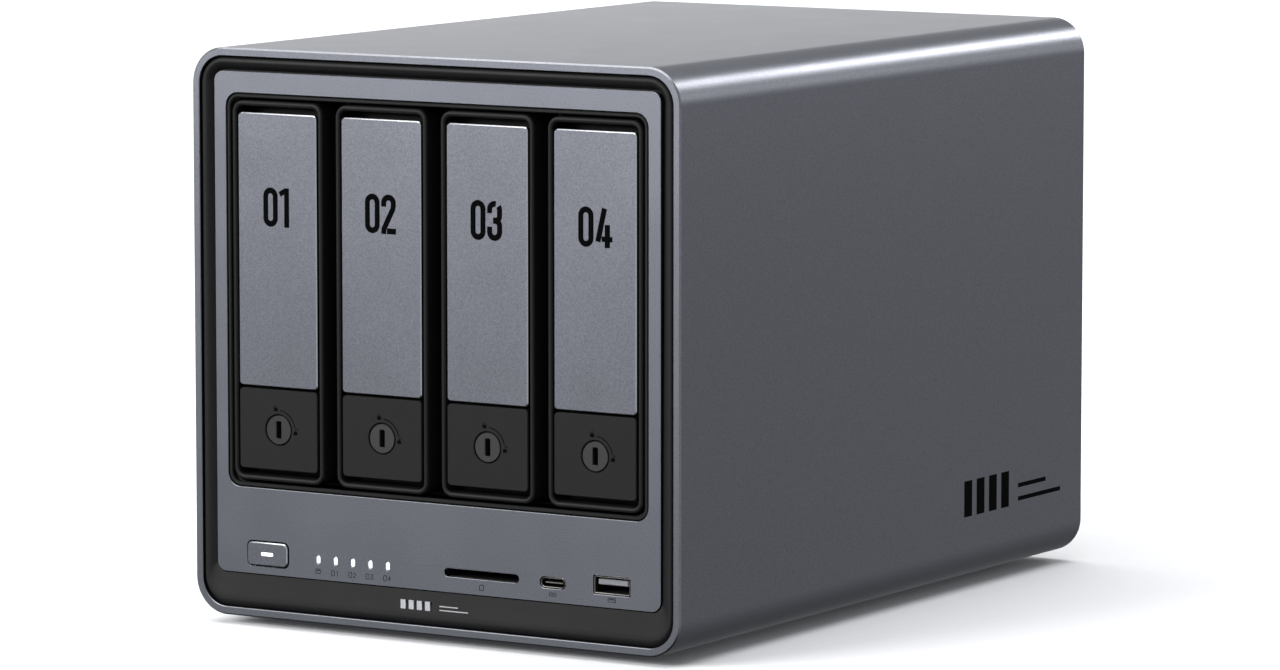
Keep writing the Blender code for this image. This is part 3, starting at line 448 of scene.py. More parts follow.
BUTTON_MIDDLE = (-0.0622, 0.0231)
BUTTON_SIZE = (0.0152, 0.0075)
BUTTON_RADIUS = 0.0017
LIGHT_X = -0.0433 + 0.006475 * np.arange(5)
LIGHT_Z = 0.0229
CARD_MIDDLE = (0.0172, 0.0228)
USB_C_MIDDLE = (0.0430, 0.0226)
USB_A_MIDDLE = (0.0641, 0.0234)

web_outlines = [
    at(PLATE_MIDDLE, outline(PLATE_SIZE[0] - 0.007, PLATE_SIZE[1] - 0.007, 0.001)),
    at(BAY_MIDDLE, outline(BAY_SIZE[0] - 0.003, BAY_SIZE[1] - 0.003, BAY_RADIUS)),
    at(BUTTON_MIDDLE, outline(BUTTON_SIZE[0] + 0.0006, BUTTON_SIZE[1] + 0.0006, 0.002)),
    at((LIGHT_X.mean(), LIGHT_Z), outline(0.0288, 0.0034, 0.001)),
    at(CARD_MIDDLE, outline(0.0294, 0.0051, 0.0004)),
    at(USB_C_MIDDLE, outline(0.0098, 0.0040, 0.0018)),
    at(USB_A_MIDDLE, outline(0.0137, 0.0062, 0.0006)),
]
LIP = (-GAP, -GAP - 0.0012)
lip_profile = [
    (LIP[0], BEZEL_BACK),
    (LIP[0], FRONT + 0.0016),
    (LIP[0] - 0.0003, FRONT + 0.0013),
    (LIP[1] + 0.0003, FRONT + 0.0013),
    (LIP[1], FRONT + 0.0016),
    (LIP[1], BEZEL_BACK),
]
build(
    "bezel_moulding",
    [
        border(),
        flat(web_outlines, FRONT + 0.0030, BEZEL_BACK),
        carried(BAY_MIDDLE, BAY_SIZE, BAY_RADIUS, lip_profile[::-1], True, steps=10),
    ],
    [abs_black],
    "case", "bezel_plastic", "front_bezel",
)

# ---------------------------------------------------------------- front plate
# A 1.5 mm aluminium plate, blasted and anodised like the sleeve, lies in the bezel's dish.
# Its outer edge, the bay opening and every small hole are chamfered before blasting.

plate_outlines = [
    at(PLATE_MIDDLE, outline(*PLATE_SIZE, PLATE_RADIUS)),
    at(BAY_MIDDLE, outline(*BAY_SIZE, BAY_RADIUS)),
    at(BUTTON_MIDDLE, outline(BUTTON_SIZE[0] + 0.0006, BUTTON_SIZE[1] + 0.0006, BUTTON_RADIUS + GAP)),
    *[at((x, LIGHT_Z), outline(0.0016, 0.0028, 0.00078)) for x in LIGHT_X],
    at(CARD_MIDDLE, outline(0.0272, 0.00265, 0.00131)),
    at(USB_C_MIDDLE, outline(0.0094, 0.0036, 0.00178)),
    at(USB_A_MIDDLE, outline(0.0133, 0.0058, 0.0006)),
]
build(
    "faceplate", [flat(plate_outlines, plate_low.y, plate_high.y, 0.00012)], [blasted, milled],
    "case", "plate_aluminium", "front_plate",
)

# ---------------------------------------------------------------- power button
# A small aluminium key with a diamond-cut edge stands just proud of the plate. A clear
# bar in its middle carries the white power light from the board behind.


def ribbon(path, width, front, closed=False, thick=6e-5):
    """A printed stroke of even width along a path of (x, z) rows, lying on the surface at depth front.

    Each point goes half the width to both sides along the mean normal of its neighbours,
    lengthened at a bend so that the edges stay parallel. Repeated points are dropped.
    """
    path = np.asarray(path, float)
    path = path[np.append(True, np.linalg.norm(np.diff(path, axis=0), axis=1) > 1e-6)]
    ahead = np.roll(path, -1, 0) - path
    if not closed:
        ahead[-1] = ahead[-2]
    ahead /= np.linalg.norm(ahead, axis=1)[:, None]
    behind = np.roll(ahead, 1, 0)
    if not closed:
        behind[0] = ahead[0]
    normal = np.stack([-(ahead + behind)[:, 1], (ahead + behind)[:, 0]], 1)
    normal /= np.linalg.norm(normal, axis=1)[:, None]
    across = np.stack([-ahead[:, 1], ahead[:, 0]], 1)
    reach = width / 2 / np.clip((normal * across).sum(1), 0.4, 1)[:, None]
    right, left = path - normal * reach, path + normal * reach
    corners = np.stack([right, left, left, right], 1)
    depth = np.broadcast_to(front + thick / 2 * np.array([-1, -1, 1, 1]), corners.shape[:2])
    grid = np.stack([corners[..., 0], depth, corners[..., 1]], -1)
    return shell_of(grid, closed)


def arc(x, z, radius, start, end, steps=10):
    """Points on a circle about (x, z), from one angle in degrees to another."""
    angle = np.radians(np.linspace(start, end, steps))
    return np.stack([x + radius * np.cos(angle), z + radius * np.sin(angle)], 1)


key_low, key_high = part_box("power_button")
KEY_FRONT = key_low.y
KEY_CUT = 0.0003
key_profile = [
    (-KEY_CUT, KEY_FRONT),
    (0, KEY_FRONT + KEY_CUT),
    (0, BEZEL_BACK + 0.0004),
    (0.0008, BEZEL_BACK + 0.0005),
    (0.0008, BEZEL_BACK + 0.0016),
    (-0.003, BEZEL_BACK + 0.0017),
    (-0.003, key_high.y),
]
key_size = (BUTTON_SIZE[0] - 0.0002, BUTTON_SIZE[1] - 0.0002)
build(
    "power_key_cap",
    [carried(BUTTON_MIDDLE, key_size, BUTTON_RADIUS, key_profile, bright=(0,))],
    [blasted, diamond_cut],
    "power_key", "button_aluminium", "power_button",
)

# Clear polycarbonate with a white lamp behind glows evenly, a little milky.
glowing = grained("lit_clear_polycarbonate", "#E9ECF2", "#FFFFFF", 0.0006, (0.25, 0.35), 2e-6)
glow = glowing.node_tree.nodes["Principled BSDF"].inputs
glow["Emission Color"].default_value = linear("#F4F8FF")
glow["Emission Strength"].default_value = 1.1
bar_profile = [
    (-0.0004, KEY_FRONT - 0.00012),
    (-0.0001, KEY_FRONT - 0.00006),
    (0, KEY_FRONT + 0.0001),
    (0, KEY_FRONT + 0.003),
]
bar = carried(BUTTON_MIDDLE, (0.0046, 0.0012), 0.0005, bar_profile, steps=5)
build("power_light_bar", [bar], [glowing], "power_key", "light_clear", "power_button_light")

# ---------------------------------------------------------------- status lights
# Five clear pips on one moulded bar lead the lamps' light through the plate: one for the
# network and one for each drive.

pip_front = plate_low.y - 0.00008
pip_profile = [
    (-0.0005, pip_front),
    (-0.0002, pip_front + 0.00006),
    (0, pip_front + 0.0003),
    (0, BEZEL_BACK + 0.0008),
]
pips = [carried((x, LIGHT_Z), (0.0011, 0.0023), 0.00054, pip_profile, steps=5) for x in LIGHT_X]
bar_ends = [(0, BEZEL_BACK + 0.0003), (0, BEZEL_BACK + 0.0018)]
pips.append(carried((LIGHT_X.mean(), LIGHT_Z), (0.0280, 0.0020), 0.0004, bar_ends, steps=3))
build("status_light_row", pips, [glowing], "case", "light_clear", "status_light_pipes")

# ---------------------------------------------------------------- front marks
# Pad printing in black ink marks each light and socket with a small plain sign, and pale ink
# puts four bars and two lines on the chin. The signs show sockets, a card and numbered drives.

# Pad ink is a thin satin film; its edge is slightly uneven, which the grain suggests.
ink = grained("black_pad_ink", "#010102", "#050506", 0.0004, (0.6, 0.7), 2e-6, sheen=0.02)
pale_ink = grained("pale_pad_ink", "#8A8B8E", "#9B9C9F", 0.0004, (0.5, 0.6), 2e-6)
mark_y = plate_low.y
MARK_Z = 0.0191
FINE = 0.00017


def dash(x, z, length, width, front):
    """A level stroke of a length and a width, centred on (x, z)."""
    return ribbon([(x - length / 2, z), (x + length / 2, z)], width, front)


def frame_sign(x, z, width, height, radius, steps, pen, front):
    """A round-cornered frame drawn with a pen of even width, centred on (x, z)."""
    return ribbon(outline(width, height, radius, steps) + (x, z), pen, front, True)


def little_number(number, x, z, height):
    """One of the figures 1 to 4 as one thin stroke, its left foot at (x, z)."""
    line = {
        1: [(0.2, 0.8), (0.6, 1), (0.6, 0)],
        2: [(0, 0.8), (0.25, 1), (0.75, 1), (1, 0.8), (1, 0.62), (0, 0), (1, 0)],
        3: [(0, 1), (1, 1), (0.45, 0.58), (0.8, 0.55), (1, 0.35), (1, 0.2), (0.75, 0), (0.25, 0), (0, 0.2)],
        4: [(0.75, 0), (0.75, 1), (0, 0.3), (1, 0.3)],
    }[number]
    return ribbon(np.array(line) * (height * 0.55, height) + (x, z), FINE, mark_y)


marks = [
    frame_sign(LIGHT_X[0], MARK_Z, 0.0019, 0.0009, 0.0002, 3, FINE, mark_y),
    ribbon([(LIGHT_X[0], MARK_Z + 0.00045), (LIGHT_X[0], MARK_Z + 0.00085)], FINE, mark_y),
    dash(LIGHT_X[0], MARK_Z + 0.00085, 0.0018, FINE, mark_y),
]
for number, x in enumerate(LIGHT_X[1:], 1):
    marks.append(frame_sign(x - 0.0009, MARK_Z, 0.0011, 0.0016, 0.0002, 3, FINE, mark_y))
    marks.append(little_number(number, x + 0.0003, MARK_Z - 0.0007, 0.0014))
card_edge = [(-0.0007, -0.0008), (0.0007, -0.0008), (0.0007, 0.0008), (-0.0003, 0.0008), (-0.0007, 0.0004)]
marks.append(ribbon(np.array(card_edge) + (CARD_MIDDLE[0], MARK_Z), FINE, mark_y, True))
marks.append(frame_sign(USB_C_MIDDLE[0], MARK_Z, 0.0026, 0.0010, 0.0005, 5, FINE, mark_y))
marks.append(dash(USB_C_MIDDLE[0], MARK_Z, 0.0014, FINE, mark_y))
marks.append(frame_sign(USB_A_MIDDLE[0], MARK_Z, 0.0026, 0.0012, 0.0001, 2, FINE, mark_y))
marks.append(dash(USB_A_MIDDLE[0], MARK_Z + 0.00015, 0.0018, 0.0003, mark_y))
build("front_signs", marks, [ink], "case", "plate_aluminium")

CHIN_Z = 0.0118
chin_y = FRONT + 0.00062
FILM = 0.0004
chin_strokes = [
    ribbon([(x, CHIN_Z - 0.0014), (x, CHIN_Z + 0.0014)], 0.0018, chin_y, thick=FILM)
    for x in -0.0112 + 0.0030 * np.arange(4)
]
chin_strokes += [
    ribbon([(0.0022, CHIN_Z + z), (end, CHIN_Z + z)], 0.0003, chin_y, thick=FILM)
    for end, z in ((0.0126, -0.0009), (0.0090, 0.0003))
]
build("chin_bay_mark", chin_strokes, [pale_ink], "case", "bezel_plastic")

# ---------------------------------------------------------------- front sockets
# Behind the plate sit a card reader in a black moulding, an oval socket and a flat socket,
# both in stamped, nickel-plated shells with a plastic tongue.

# Nickel plate on stamped steel is bright and faintly warm, with soft rolling marks.
nickel = grained("nickel_plated_steel", "#8C8A85", "#A5A39D", 0.0004, (0.26, 0.36), 1e-6, 1.0, (1, 0.1, 1))
# Tongue and reader are glass-filled nylon, dull and slightly grey.
nylon_grey = grained("grey_glass_filled_nylon", "#5E6065", "#6F7176", 0.0003, (0.45, 0.55), 3e-6)
nylon_black = grained("black_glass_filled_nylon", "#0C0C0D", "#161617", 0.0003, (0.4, 0.5), 3e-6)
# Contacts are plated with a thin hard gold.
gold = grained("gold_plated_contacts", "#C79A45", "#E1BC6B", 0.0003, (0.2, 0.28), 1e-6, 1.0)

SOCKET_FRONT = plate_low.y + 0.0002
SOCKET_WALL = 0.00035


def socket_shell(middle, size, radius, depth, back, painted_shade_from, steps=8):
    """A stamped socket's shell: a rounded lip in front, then a wall round a mouth with a closed back.

    The mouth's wall keeps its metal finish from the lip down to a given depth, and from there to its floor
    it takes finish 1.
    On the wall this dark finish is painted shade where the steel lies deep in the mouth; on the floor it is
    the plastic insulator.
    """
    lip = SOCKET_WALL * 0.45
    profile = [
        (-SOCKET_WALL, FRONT + depth),
        (-SOCKET_WALL, SOCKET_FRONT + painted_shade_from),
        (-SOCKET_WALL, SOCKET_FRONT + lip),
        (-SOCKET_WALL + lip, SOCKET_FRONT),
        (-lip, SOCKET_FRONT),
        (0, SOCKET_FRONT + lip),
        (0, back),
    ]
    points, faces, marks = carried(middle, size, radius, profile, bright=(0,), steps=steps)
    marks[-2] = 1
    return points, faces, marks


slab = [(-0.0002, FRONT + 0.0020), (0, FRONT + 0.0022)]
usb_c_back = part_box("usb_c_port")[1].y
oval_slab = [*slab, (0, FRONT + 0.0095)]
# Past its first 0.7 mm the oval socket's inner wall takes black nylon as painted shade.
build(
    "oval_socket",
    [
        socket_shell(USB_C_MIDDLE, (0.0090, 0.0032), 0.0016, 0.008, usb_c_back, 0.0007),
        carried(USB_C_MIDDLE, (0.0066, 0.0007), 0.0002, oval_slab, bright=(0, 1), steps=3),
    ],
    [nickel, nylon_black],
    "case", "socket_steel", "usb_c_port",
)

usb_a_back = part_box("usb_a_port")[1].y
# Past its first 2.2 mm the flat socket's inner wall takes black nylon as painted shade.
usb_a_shell = socket_shell(USB_A_MIDDLE, (0.0129, 0.0054), 0.0005, 0.0135, usb_a_back, 0.0022, 4)
build("flat_socket_shell", [usb_a_shell], [nickel, nylon_black], "case", "socket_steel", "usb_a_port")
tongue_middle = (USB_A_MIDDLE[0], USB_A_MIDDLE[1] + 0.00095)
flat_slab = carried(tongue_middle, (0.0106, 0.0017), 0.0003, [*slab, (0, FRONT + 0.0140)], steps=3)
build("flat_socket_tongue", [flat_slab], [nylon_grey], "case", "socket_steel")
pin_z = tongue_middle[1] - 0.00087
pin_run = [(0, FRONT + 0.0030), (0, FRONT + 0.0120)]
pins = [
    carried((USB_A_MIDDLE[0] + shift, pin_z), (0.0012, 0.0001), 0.00004, pin_run, steps=1)
    for shift in (-0.0036, -0.0012, 0.0012, 0.0036)
]
build("flat_socket_contacts", pins, [gold], "case", "socket_steel")

reader_low, reader_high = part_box("card_reader")
reader_size = (reader_high.x - reader_low.x, reader_high.z - reader_low.z)
reader_profile = [
    (-0.0010, FRONT + 0.031),
    (-0.0010, reader_low.y + 0.0008),
    (-0.0009, reader_low.y),
    (-0.0002, reader_low.y),
    (0, reader_low.y + 0.0002),
    (0, reader_high.y),
]
reader_body = carried(CARD_MIDDLE, reader_size, 0.0004, reader_profile, steps=3)
build("card_reader_body", [reader_body], [nylon_black], "case", "socket_steel", "card_reader")

# ---------------------------------------------------------------- trays
# Each drive rides in a black moulded tray with a round-edged ring in front. Inside the ring
# sit a metal-faced lever that draws the tray out, and a latch button with a key lock.

TRAY_NAMES = [f"tray_{number}" for number in (1, 2, 3, 4)]
BEAD = 0.000825
NUMBER_Z = 0.12585
PEN = 1.8
LAYER = 8e-6
LOCK_HOLE = 0.0098
FACES_LEFT = ((0, 1, 0), (-1, 0, 0), (0, 0, 1))
FACES_UP = ((1, 0, 0), (0, 0, 1), (0, -1, 0))
CARRIAGE_FRONT, CARRIAGE_REAR = -0.1173, 0.0360
CARRIAGE_LENGTH = CARRIAGE_REAR - CARRIAGE_FRONT
CARRIAGE_HEIGHT = 0.1171
WALL_MIDDLE = (-(CARRIAGE_FRONT + CARRIAGE_REAR) / 2, 0.1054)
WINDOWS = [(place, WALL_MIDDLE[1] + z) for place in (0.0745, 0.0025) for z in (-0.022, 0.022)]
RAIL = 0.0025
RAIL_Z = [WALL_MIDDLE[1] + side * (CARRIAGE_HEIGHT - RAIL) / 2 for side in (-1, 1)]
SEAT_Z = 0.05155
SEAT_STARTS = -0.1160 + 0.0258 * np.arange(6)
seat_profile = [(-0.0004, 0), (0, 0.0004), (0, 0.0196), (-0.0004, 0.02)]
rail_profile = [
    (-0.0003, CARRIAGE_FRONT),
    (0, CARRIAGE_FRONT + 0.0003),
    (0, CARRIAGE_REAR - 0.0003),
    (-0.0003, CARRIAGE_REAR),
]


def figure(character, x, z):
    """A tall condensed figure of even strokes, as (path, width, closed), its lower left corner at (x, z).

    It is drawn in millimetres in a box 5.4 wide and 12.2 high. Strokes run down the middle of
    each limb, and short breaks are left where a stencil needs a bridge.
    """
    wide, tall = 5.4, 12.2
    centre, left, right = wide / 2, PEN / 2, wide - PEN / 2
    bend = centre - left
    crown = tall - PEN / 2 - bend
    if character == "0":
        strokes = [(outline(wide - PEN, tall - PEN, bend, 8) + (centre, tall / 2), PEN, True)]
    elif character == "1":
        strokes = [([(2.75, tall), (2.75, 0)], PEN, False), ([(0.15, 10.25), (2.4, 11.45)], 1.6, False)]
    elif character == "2":
        hook = np.concatenate([[(left, 8.4), (left, crown)], arc(centre, crown, bend, 180, 0, 12)])
        lean = [(right, 8.9), (right - 0.25, 7.7), (left + 0.1, 1.6), (left, 0.0)]
        foot = [(2.1, PEN / 2), (wide, PEN / 2)]
        strokes = [(np.concatenate([hook[:-1], lean]), PEN, False), (foot, PEN, False)]
    elif character == "3":
        hook = np.concatenate([[(left, 8.4), (left, crown)], arc(centre, crown, bend, 180, 75, 8)])
        upper = [arc(centre, crown, bend, 38, 0, 4), [(right, 8.0)], arc(right - 1.4, 7.6, 1.4, -5, -75, 5)]
        lower = [arc(right - 1.4, 4.7, 1.4, 75, 5, 5), arc(centre, PEN / 2 + bend, bend, 0, -180, 14)]
        strokes = [
            (hook, PEN, False),
            (np.concatenate([*upper, [(2.2, 6.2)]]), PEN, False),
            (np.concatenate([[(2.2, 6.15)], *lower, [(left, 4.3)]]), PEN, False),
        ]
    else:
        strokes = [
            ([(3.3, 11.9), (0.95, 1.75)], PEN, False),
            ([(4.3, 7.0), (4.3, 0)], PEN, False),
            ([(2.3, 2.6), (6.1, 2.6)], 1.6, False),
        ]
    return [(np.asarray(path) / 1000 + (x, z), width / 1000, closed) for path, width, closed in strokes]


for index, tray in enumerate(TRAY_NAMES):
    ring_low, ring_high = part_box(tray + "_frame")
    x = (ring_low.x + ring_high.x) / 2
    ring_size = (ring_high.x - ring_low.x, ring_high.z - ring_low.z)
    ring_middle = (x, (ring_low.z + ring_high.z) / 2)
    turn = np.linspace(0, math.pi / 2, 7)
    outside = np.c_[BEAD * (np.sin(turn) - 1), ring_low.y + BEAD * (1 - np.cos(turn))]
    inside = np.c_[-BEAD * (np.sin(turn) + 1), ring_low.y + BEAD * (1 - np.cos(turn))]
    ring_back = FRONT + 0.0115
    bead = [*outside, (0, ring_back), (-2 * BEAD, ring_back), *inside[:0:-1]]
    bulkhead_outlines = [at(ring_middle, outline(ring_size[0] - 0.002, ring_size[1] - 0.002, 0.001))]
    bulkhead_outlines += [
        at((x, ring_middle[1] + z), outline(0.022, 0.003, 0.001)) for z in (-0.048, 0.048)
    ]
    wall_outlines = [at(WALL_MIDDLE, outline(CARRIAGE_LENGTH, CARRIAGE_HEIGHT, 0.0006))]
    wall_outlines += [at(place, outline(0.062, 0.018, 0.002)) for place in WINDOWS]
    rails = [carried((x - 0.00055, z), (0.0319, RAIL), 0.0004, rail_profile, steps=2) for z in RAIL_Z]
    seats = [
        carried((x, SEAT_Z), (0.024, 0.0051), 0.0006, at((0, y), seat_profile), steps=2)
        for y in SEAT_STARTS
    ]
    build(
        tray + "_ring",
        [
            carried(ring_middle, ring_size, 0.0038, bead, True, steps=10),
            flat(bulkhead_outlines, FRONT + 0.0095, FRONT + 0.0120),
            shown(flat(wall_outlines, x - 0.0165, x - 0.0145, 0.0003), FACES_LEFT),
            *rails,
            *seats,
        ],
        [abs_black],
        tray, "tray_plastic", tray + "_frame",
    )

    face_low, face_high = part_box(tray + "_handle_plate")
    face_middle = (x, (face_low.z + face_high.z) / 2)
    face_size = (face_high.x - face_low.x, face_high.z - face_low.z)
    face_profile = [(-0.0003, face_low.y), (0, face_low.y + 0.0003), (0, face_high.y)]
    build(
        tray + "_lever_face",
        [carried(face_middle, face_size, 0.0013, face_profile, bright=(0,))],
        [blasted, diamond_cut],
        tray + "_lever", "plate_aluminium", tray + "_handle_plate",
    )

    start = x - (0.00515 if index == 0 else 0.00585)
    strokes = figure("0", start, NUMBER_Z) + figure(str(index + 1), start + 0.006, NUMBER_Z)
    films = [
        ribbon(path, width, face_low.y - LAYER * layer, closed)
        for layer, (path, width, closed) in enumerate(strokes)
    ]
    build(tray + "_number", films, [ink], tray + "_lever", "plate_aluminium")

    latch_low, latch_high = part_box(tray + "_latch_button")
    lock_low, lock_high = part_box(tray + "_lock")
    lock_middle = (x, (lock_low.z + lock_high.z) / 2)
    lock_z = lock_middle[1]
    latch_middle = (x, (latch_low.z + latch_high.z) / 2)
    latch_size = (latch_high.x - latch_low.x, latch_high.z - latch_low.z)
    latch_outlines = [
        at(latch_middle, outline(*latch_size, 0.0013)),
        at(lock_middle, outline(LOCK_HOLE, LOCK_HOLE, LOCK_HOLE / 2, 10)),
    ]
    latch_cap = flat(latch_outlines, latch_low.y, FRONT + 0.0045, 0.00025)
    build(
        tray + "_latch_face", [latch_cap], [abs_black],
        tray + "_latch", "tray_plastic", tray + "_latch_button",
    )

    sign_y = latch_low.y
    padlocks = [ribbon(arc(x, lock_z, 0.00625, 84, 10, 16), 0.00032, sign_y)]
    for sign_x, sign_z, lift in ((x - 0.0010, lock_z + 0.0064, 0.0), (x + 0.0064, lock_z - 0.0006, 0.0005)):
        padlocks.append(dash(sign_x, sign_z, 0.0014, 0.0011, sign_y))
        bow = arc(sign_x + lift, sign_z + 0.0007 + lift / 2, 0.00042, 180, 0, 8)
        padlocks.append(ribbon(np.concatenate([[(bow[0][0], sign_z + 0.0004)], bow]), 0.0002, sign_y))
    build(tray + "_lock_signs", padlocks, [ink], tray + "_latch", "lock_plastic")

    barrel_size = lock_high.x - lock_low.x
    barrel_outlines = [
        at(lock_middle, outline(barrel_size, barrel_size, barrel_size / 2, 10)),
        at(lock_middle, outline(0.0017, 0.0053, 0.0003, 3)),
    ]
    barrel_y = lock_low.y + 0.0001
    barrel_front = flat(barrel_outlines, barrel_y, barrel_y + 0.0030, 0.0002)
    barrel_back = turned(lock_middle, barrel_size / 2, [(0, barrel_y + 0.003), (0, barrel_y + 0.0056)], 10)
    build(
        tray + "_lock_barrel_face", [barrel_front, barrel_back], [nylon_black],
        tray + "_lock_barrel", "lock_plastic", tray + "_lock",
    )

    clip_low, clip_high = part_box(tray + "_drive_clip")
    clip_middle = (x, (clip_low.y + clip_high.y) / 2)
    clip_outlines = [at(clip_middle, outline(clip_high.x - clip_low.x, clip_high.y - clip_low.y, 0.002, 4))]
    clip_outlines += [
        at((x, y), outline(0.016, 0.022, 0.002, 3)) for y in clip_middle[1] + 0.029 * np.arange(-1.5, 2)
    ]
    clip_strip = flat(clip_outlines, -clip_high.z, -clip_low.z, 0.0004)
    build(
        tray + "_clip", [shown(clip_strip, FACES_UP)], [abs_black],
        tray, "tray_plastic", tray + "_drive_clip",
    )
    coat(abs_black, tray + "_handle")

# ---------------------------------------------------------------- drive cage
# Folded from 1.2 mm steel and powder coated black: two side walls that stand on the floor,
# a floor and a roof that carry the trays' rails, and three slotted dividers between bays.

# Powder coat flows to a soft orange peel of about 0.6 mm and a low satin gloss.
powder_coat = grained(
    "black_powder_coated_steel", "#171718", "#212123", 0.0006, (0.46, 0.58), 1.4e-5, sheen=0.3
)
coat(powder_coat, "cage_side_left", "cage_side_right", "cage_floor", "cage_roof")
coat(powder_coat, "bay_divider_1", "bay_divider_2", "bay_divider_3")

# ---------------------------------------------------------------- boards
# Four glass-epoxy boards: the upright one behind the bays with a connector for each drive, the
# main one below with its heatsink and memory, and a narrow one behind the front sockets.


def populated_board(name, axis, low, high):
    """Green solder mask over faint copper where a point lies between low and high along an axis.

    Elsewhere on the node are the soldered parts, which are moulded in black.
    """
    made = bpy.data.materials.new(name)
    made.use_nodes = True
    tree = made.node_tree
    shader = tree.nodes["Principled BSDF"]
    place = add(tree, "TexCoord").outputs["Object"]
    split = add(tree, "SeparateXYZ", {"Vector": place})
    span = {0: split.outputs[axis], 1: (low + high) / 2, 2: (high - low) / 2 + 0.00002}
    inside = add(tree, "Math", span, operation="COMPARE")
    lanes = add(tree, "TexVoronoi", {"Vector": place, "Scale": 1 / TRACE_PITCH}, distance="CHEBYCHEV")
    copper = add(tree, "ValToRGB", {"Fac": lanes.outputs["Distance"]})
    copper.color_ramp.elements[0].position = 0.42
    copper.color_ramp.elements[0].color = linear("#0F3A22")
    copper.color_ramp.elements[1].position = 0.46
    copper.color_ramp.elements[1].color = linear("#185533")
    mixed = {"Factor": inside.outputs[0], "A": linear("#141415"), "B": copper.outputs["Color"]}
    colour = add(tree, "Mix", mixed, data_type="RGBA")
    relief = add(tree, "Bump", {"Height": lanes.outputs["Distance"], "Distance": 0.00003})
    tree.links.new(colour.outputs["Result"], shader.inputs["Base Color"])
    tree.links.new(relief.outputs["Normal"], shader.inputs["Normal"])
    shader.inputs["Roughness"].default_value = 0.32
    return made


# Copper lanes lie 0.2 mm apart; drawn in patches of 3 mm so that they show.
TRACE_PITCH = 0.003
coat(populated_board("green_solder_mask_upright", "Y", 0.0450, 0.0466), "backplane_board")
coat(populated_board("green_solder_mask_flat", "Z", 0.0160, 0.0176), "mainboard")
coat(populated_board("green_solder_mask_front", "Z", 0.0186, 0.0202), "front_io_board")
coat(populated_board("green_solder_mask_memory", "Z", 0.0118, 0.0130), "memory_module")

# Extruded fins keep the die's fine lines along their length and a dull silver shine.
mill_finish = grained(
    "mill_finish_aluminium", "#A4A6AA", "#C0C2C6", 0.0005, (0.3, 0.4), 4e-6, 1.0, (1, 0.05, 1)
)
coat(mill_finish, "processor_heatsink")

# ---------------------------------------------------------------- bottom cover
# A black coated steel plate lies flush in the sleeve's stepped opening over the memory, held
# by four cross-head screws.

coat(powder_coat, "bottom_cover")

# Screws are zinc plated and blackened, with a dull even shine.
black_zinc = grained("black_zinc_plated_steel", "#1C1C1E", "#2C2C2F", 0.0003, (0.3, 0.42), 3e-6, 1.0)


def screw(middle, head, seat, rise):
    """A low screw head that faces the front: a chamfered disc with a cross cut in it, on a plain shank.

    The cross has four arms to six tenths of the head's radius, a third of that wide.
    """
    slot, arm = head * 0.15, head * 0.6
    cross = [(arm, -slot), (arm, slot), (slot, slot), (slot, arm), (-slot, arm), (-slot, slot)]
    cross = np.array(cross + [(-x, -z) for x, z in cross])
    rows = [at(middle, outline(2 * head, 2 * head, head, 5)), at(middle, cross)]
    shank = 1.2 * arm
    return [
        flat(rows, seat - rise, seat, 0.3 * rise),
        turned(middle, shank, [(0, seat - 0.2 * rise), (0, seat + 0.0002)], 4),
    ]


COVER_SCREWS = [(x, ACCESS_MIDDLE[1] + z) for x in (-0.0610, 0.0610) for z in (-0.045, 0.045)]
heads = [shell for place in COVER_SCREWS for shell in screw(place, 0.0023, UNDER, 0.0006)]
build("cover_screws", [shown(shell, FACES_DOWN) for shell in heads], [black_zinc], "case", "cover_steel")

# ---------------------------------------------------------------- feet
# Four round pads of moulded rubber with a rolled edge are glued into pockets under the case.

# Nitrile rubber is matt with a fine dusty bloom.
rubber = grained("moulded_black_rubber", "#101011", "#1B1B1C", 0.0003, (0.75, 0.88), 8e-6)
FOOT_RADIUS = 0.0098
SOLE = 0.00004
foot_profile = [
    (-0.0062, 0.0003),
    (-0.0054, SOLE),
    (-0.0022, SOLE),
    (-0.0011, 0.00025),
    (-0.0003, 0.0009),
    (0, 0.0018),
    (0, 0.0036),
]
feet = [turned(place, FOOT_RADIUS, foot_profile) for place in FOOT_PLACES]
build(
    "rubber_feet", [shown(shell, FACES_DOWN) for shell in feet], [rubber],
    "case", "foot_rubber", "foot_1", "foot_2", "foot_3", "foot_4",
)

# ---------------------------------------------------------------- rear panel
# A black coated steel plate closes the back inside the sleeve's rim. Screws at its corners
# reach tabs of the cage, and four larger ones hold the fan.

coat(powder_coat, "rear_panel")
FACES_BACK = ((-1, 0, 0), (0, -1, 0), (0, 0, 1))
PANEL = -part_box("rear_panel")[1].y
FAN_Z = 0.1060
FAN_HOLES = (-0.06225, 0.06225)
panel_screws = [screw((x, z), 0.0029, PANEL, 0.0011) for x in (-0.0820, 0.0820) for z in (0.0180, 0.1600)]
panel_screws += [screw((x, FAN_Z + z), 0.0036, PANEL, 0.0012) for x in FAN_HOLES for z in FAN_HOLES]
heads = [shell for pair in panel_screws for shell in pair]
build("rear_screws", [shown(shell, FACES_BACK) for shell in heads], [black_zinc], "case", "rear_plastic")

# ---------------------------------------------------------------- rear sockets
# A row of board-mounted sockets looks out through the panel: a power inlet, two network
# sockets in one can, two flat sockets one above the other, and a video socket.

PORT = -0.1230
BASE = 0.0180
CONTACT = 0.00012


def tinted(shell, finish):
    """A shell whose faces all take one of its piece's finishes."""
    points, faces, _ = shell
    return points, faces, np.full(len(faces), finish)


def spread(x, y, z):
    """Rows of (x, y, z), where any of the three may be one value for all rows."""
    return np.stack(np.broadcast_arrays(x, y, z), 1)


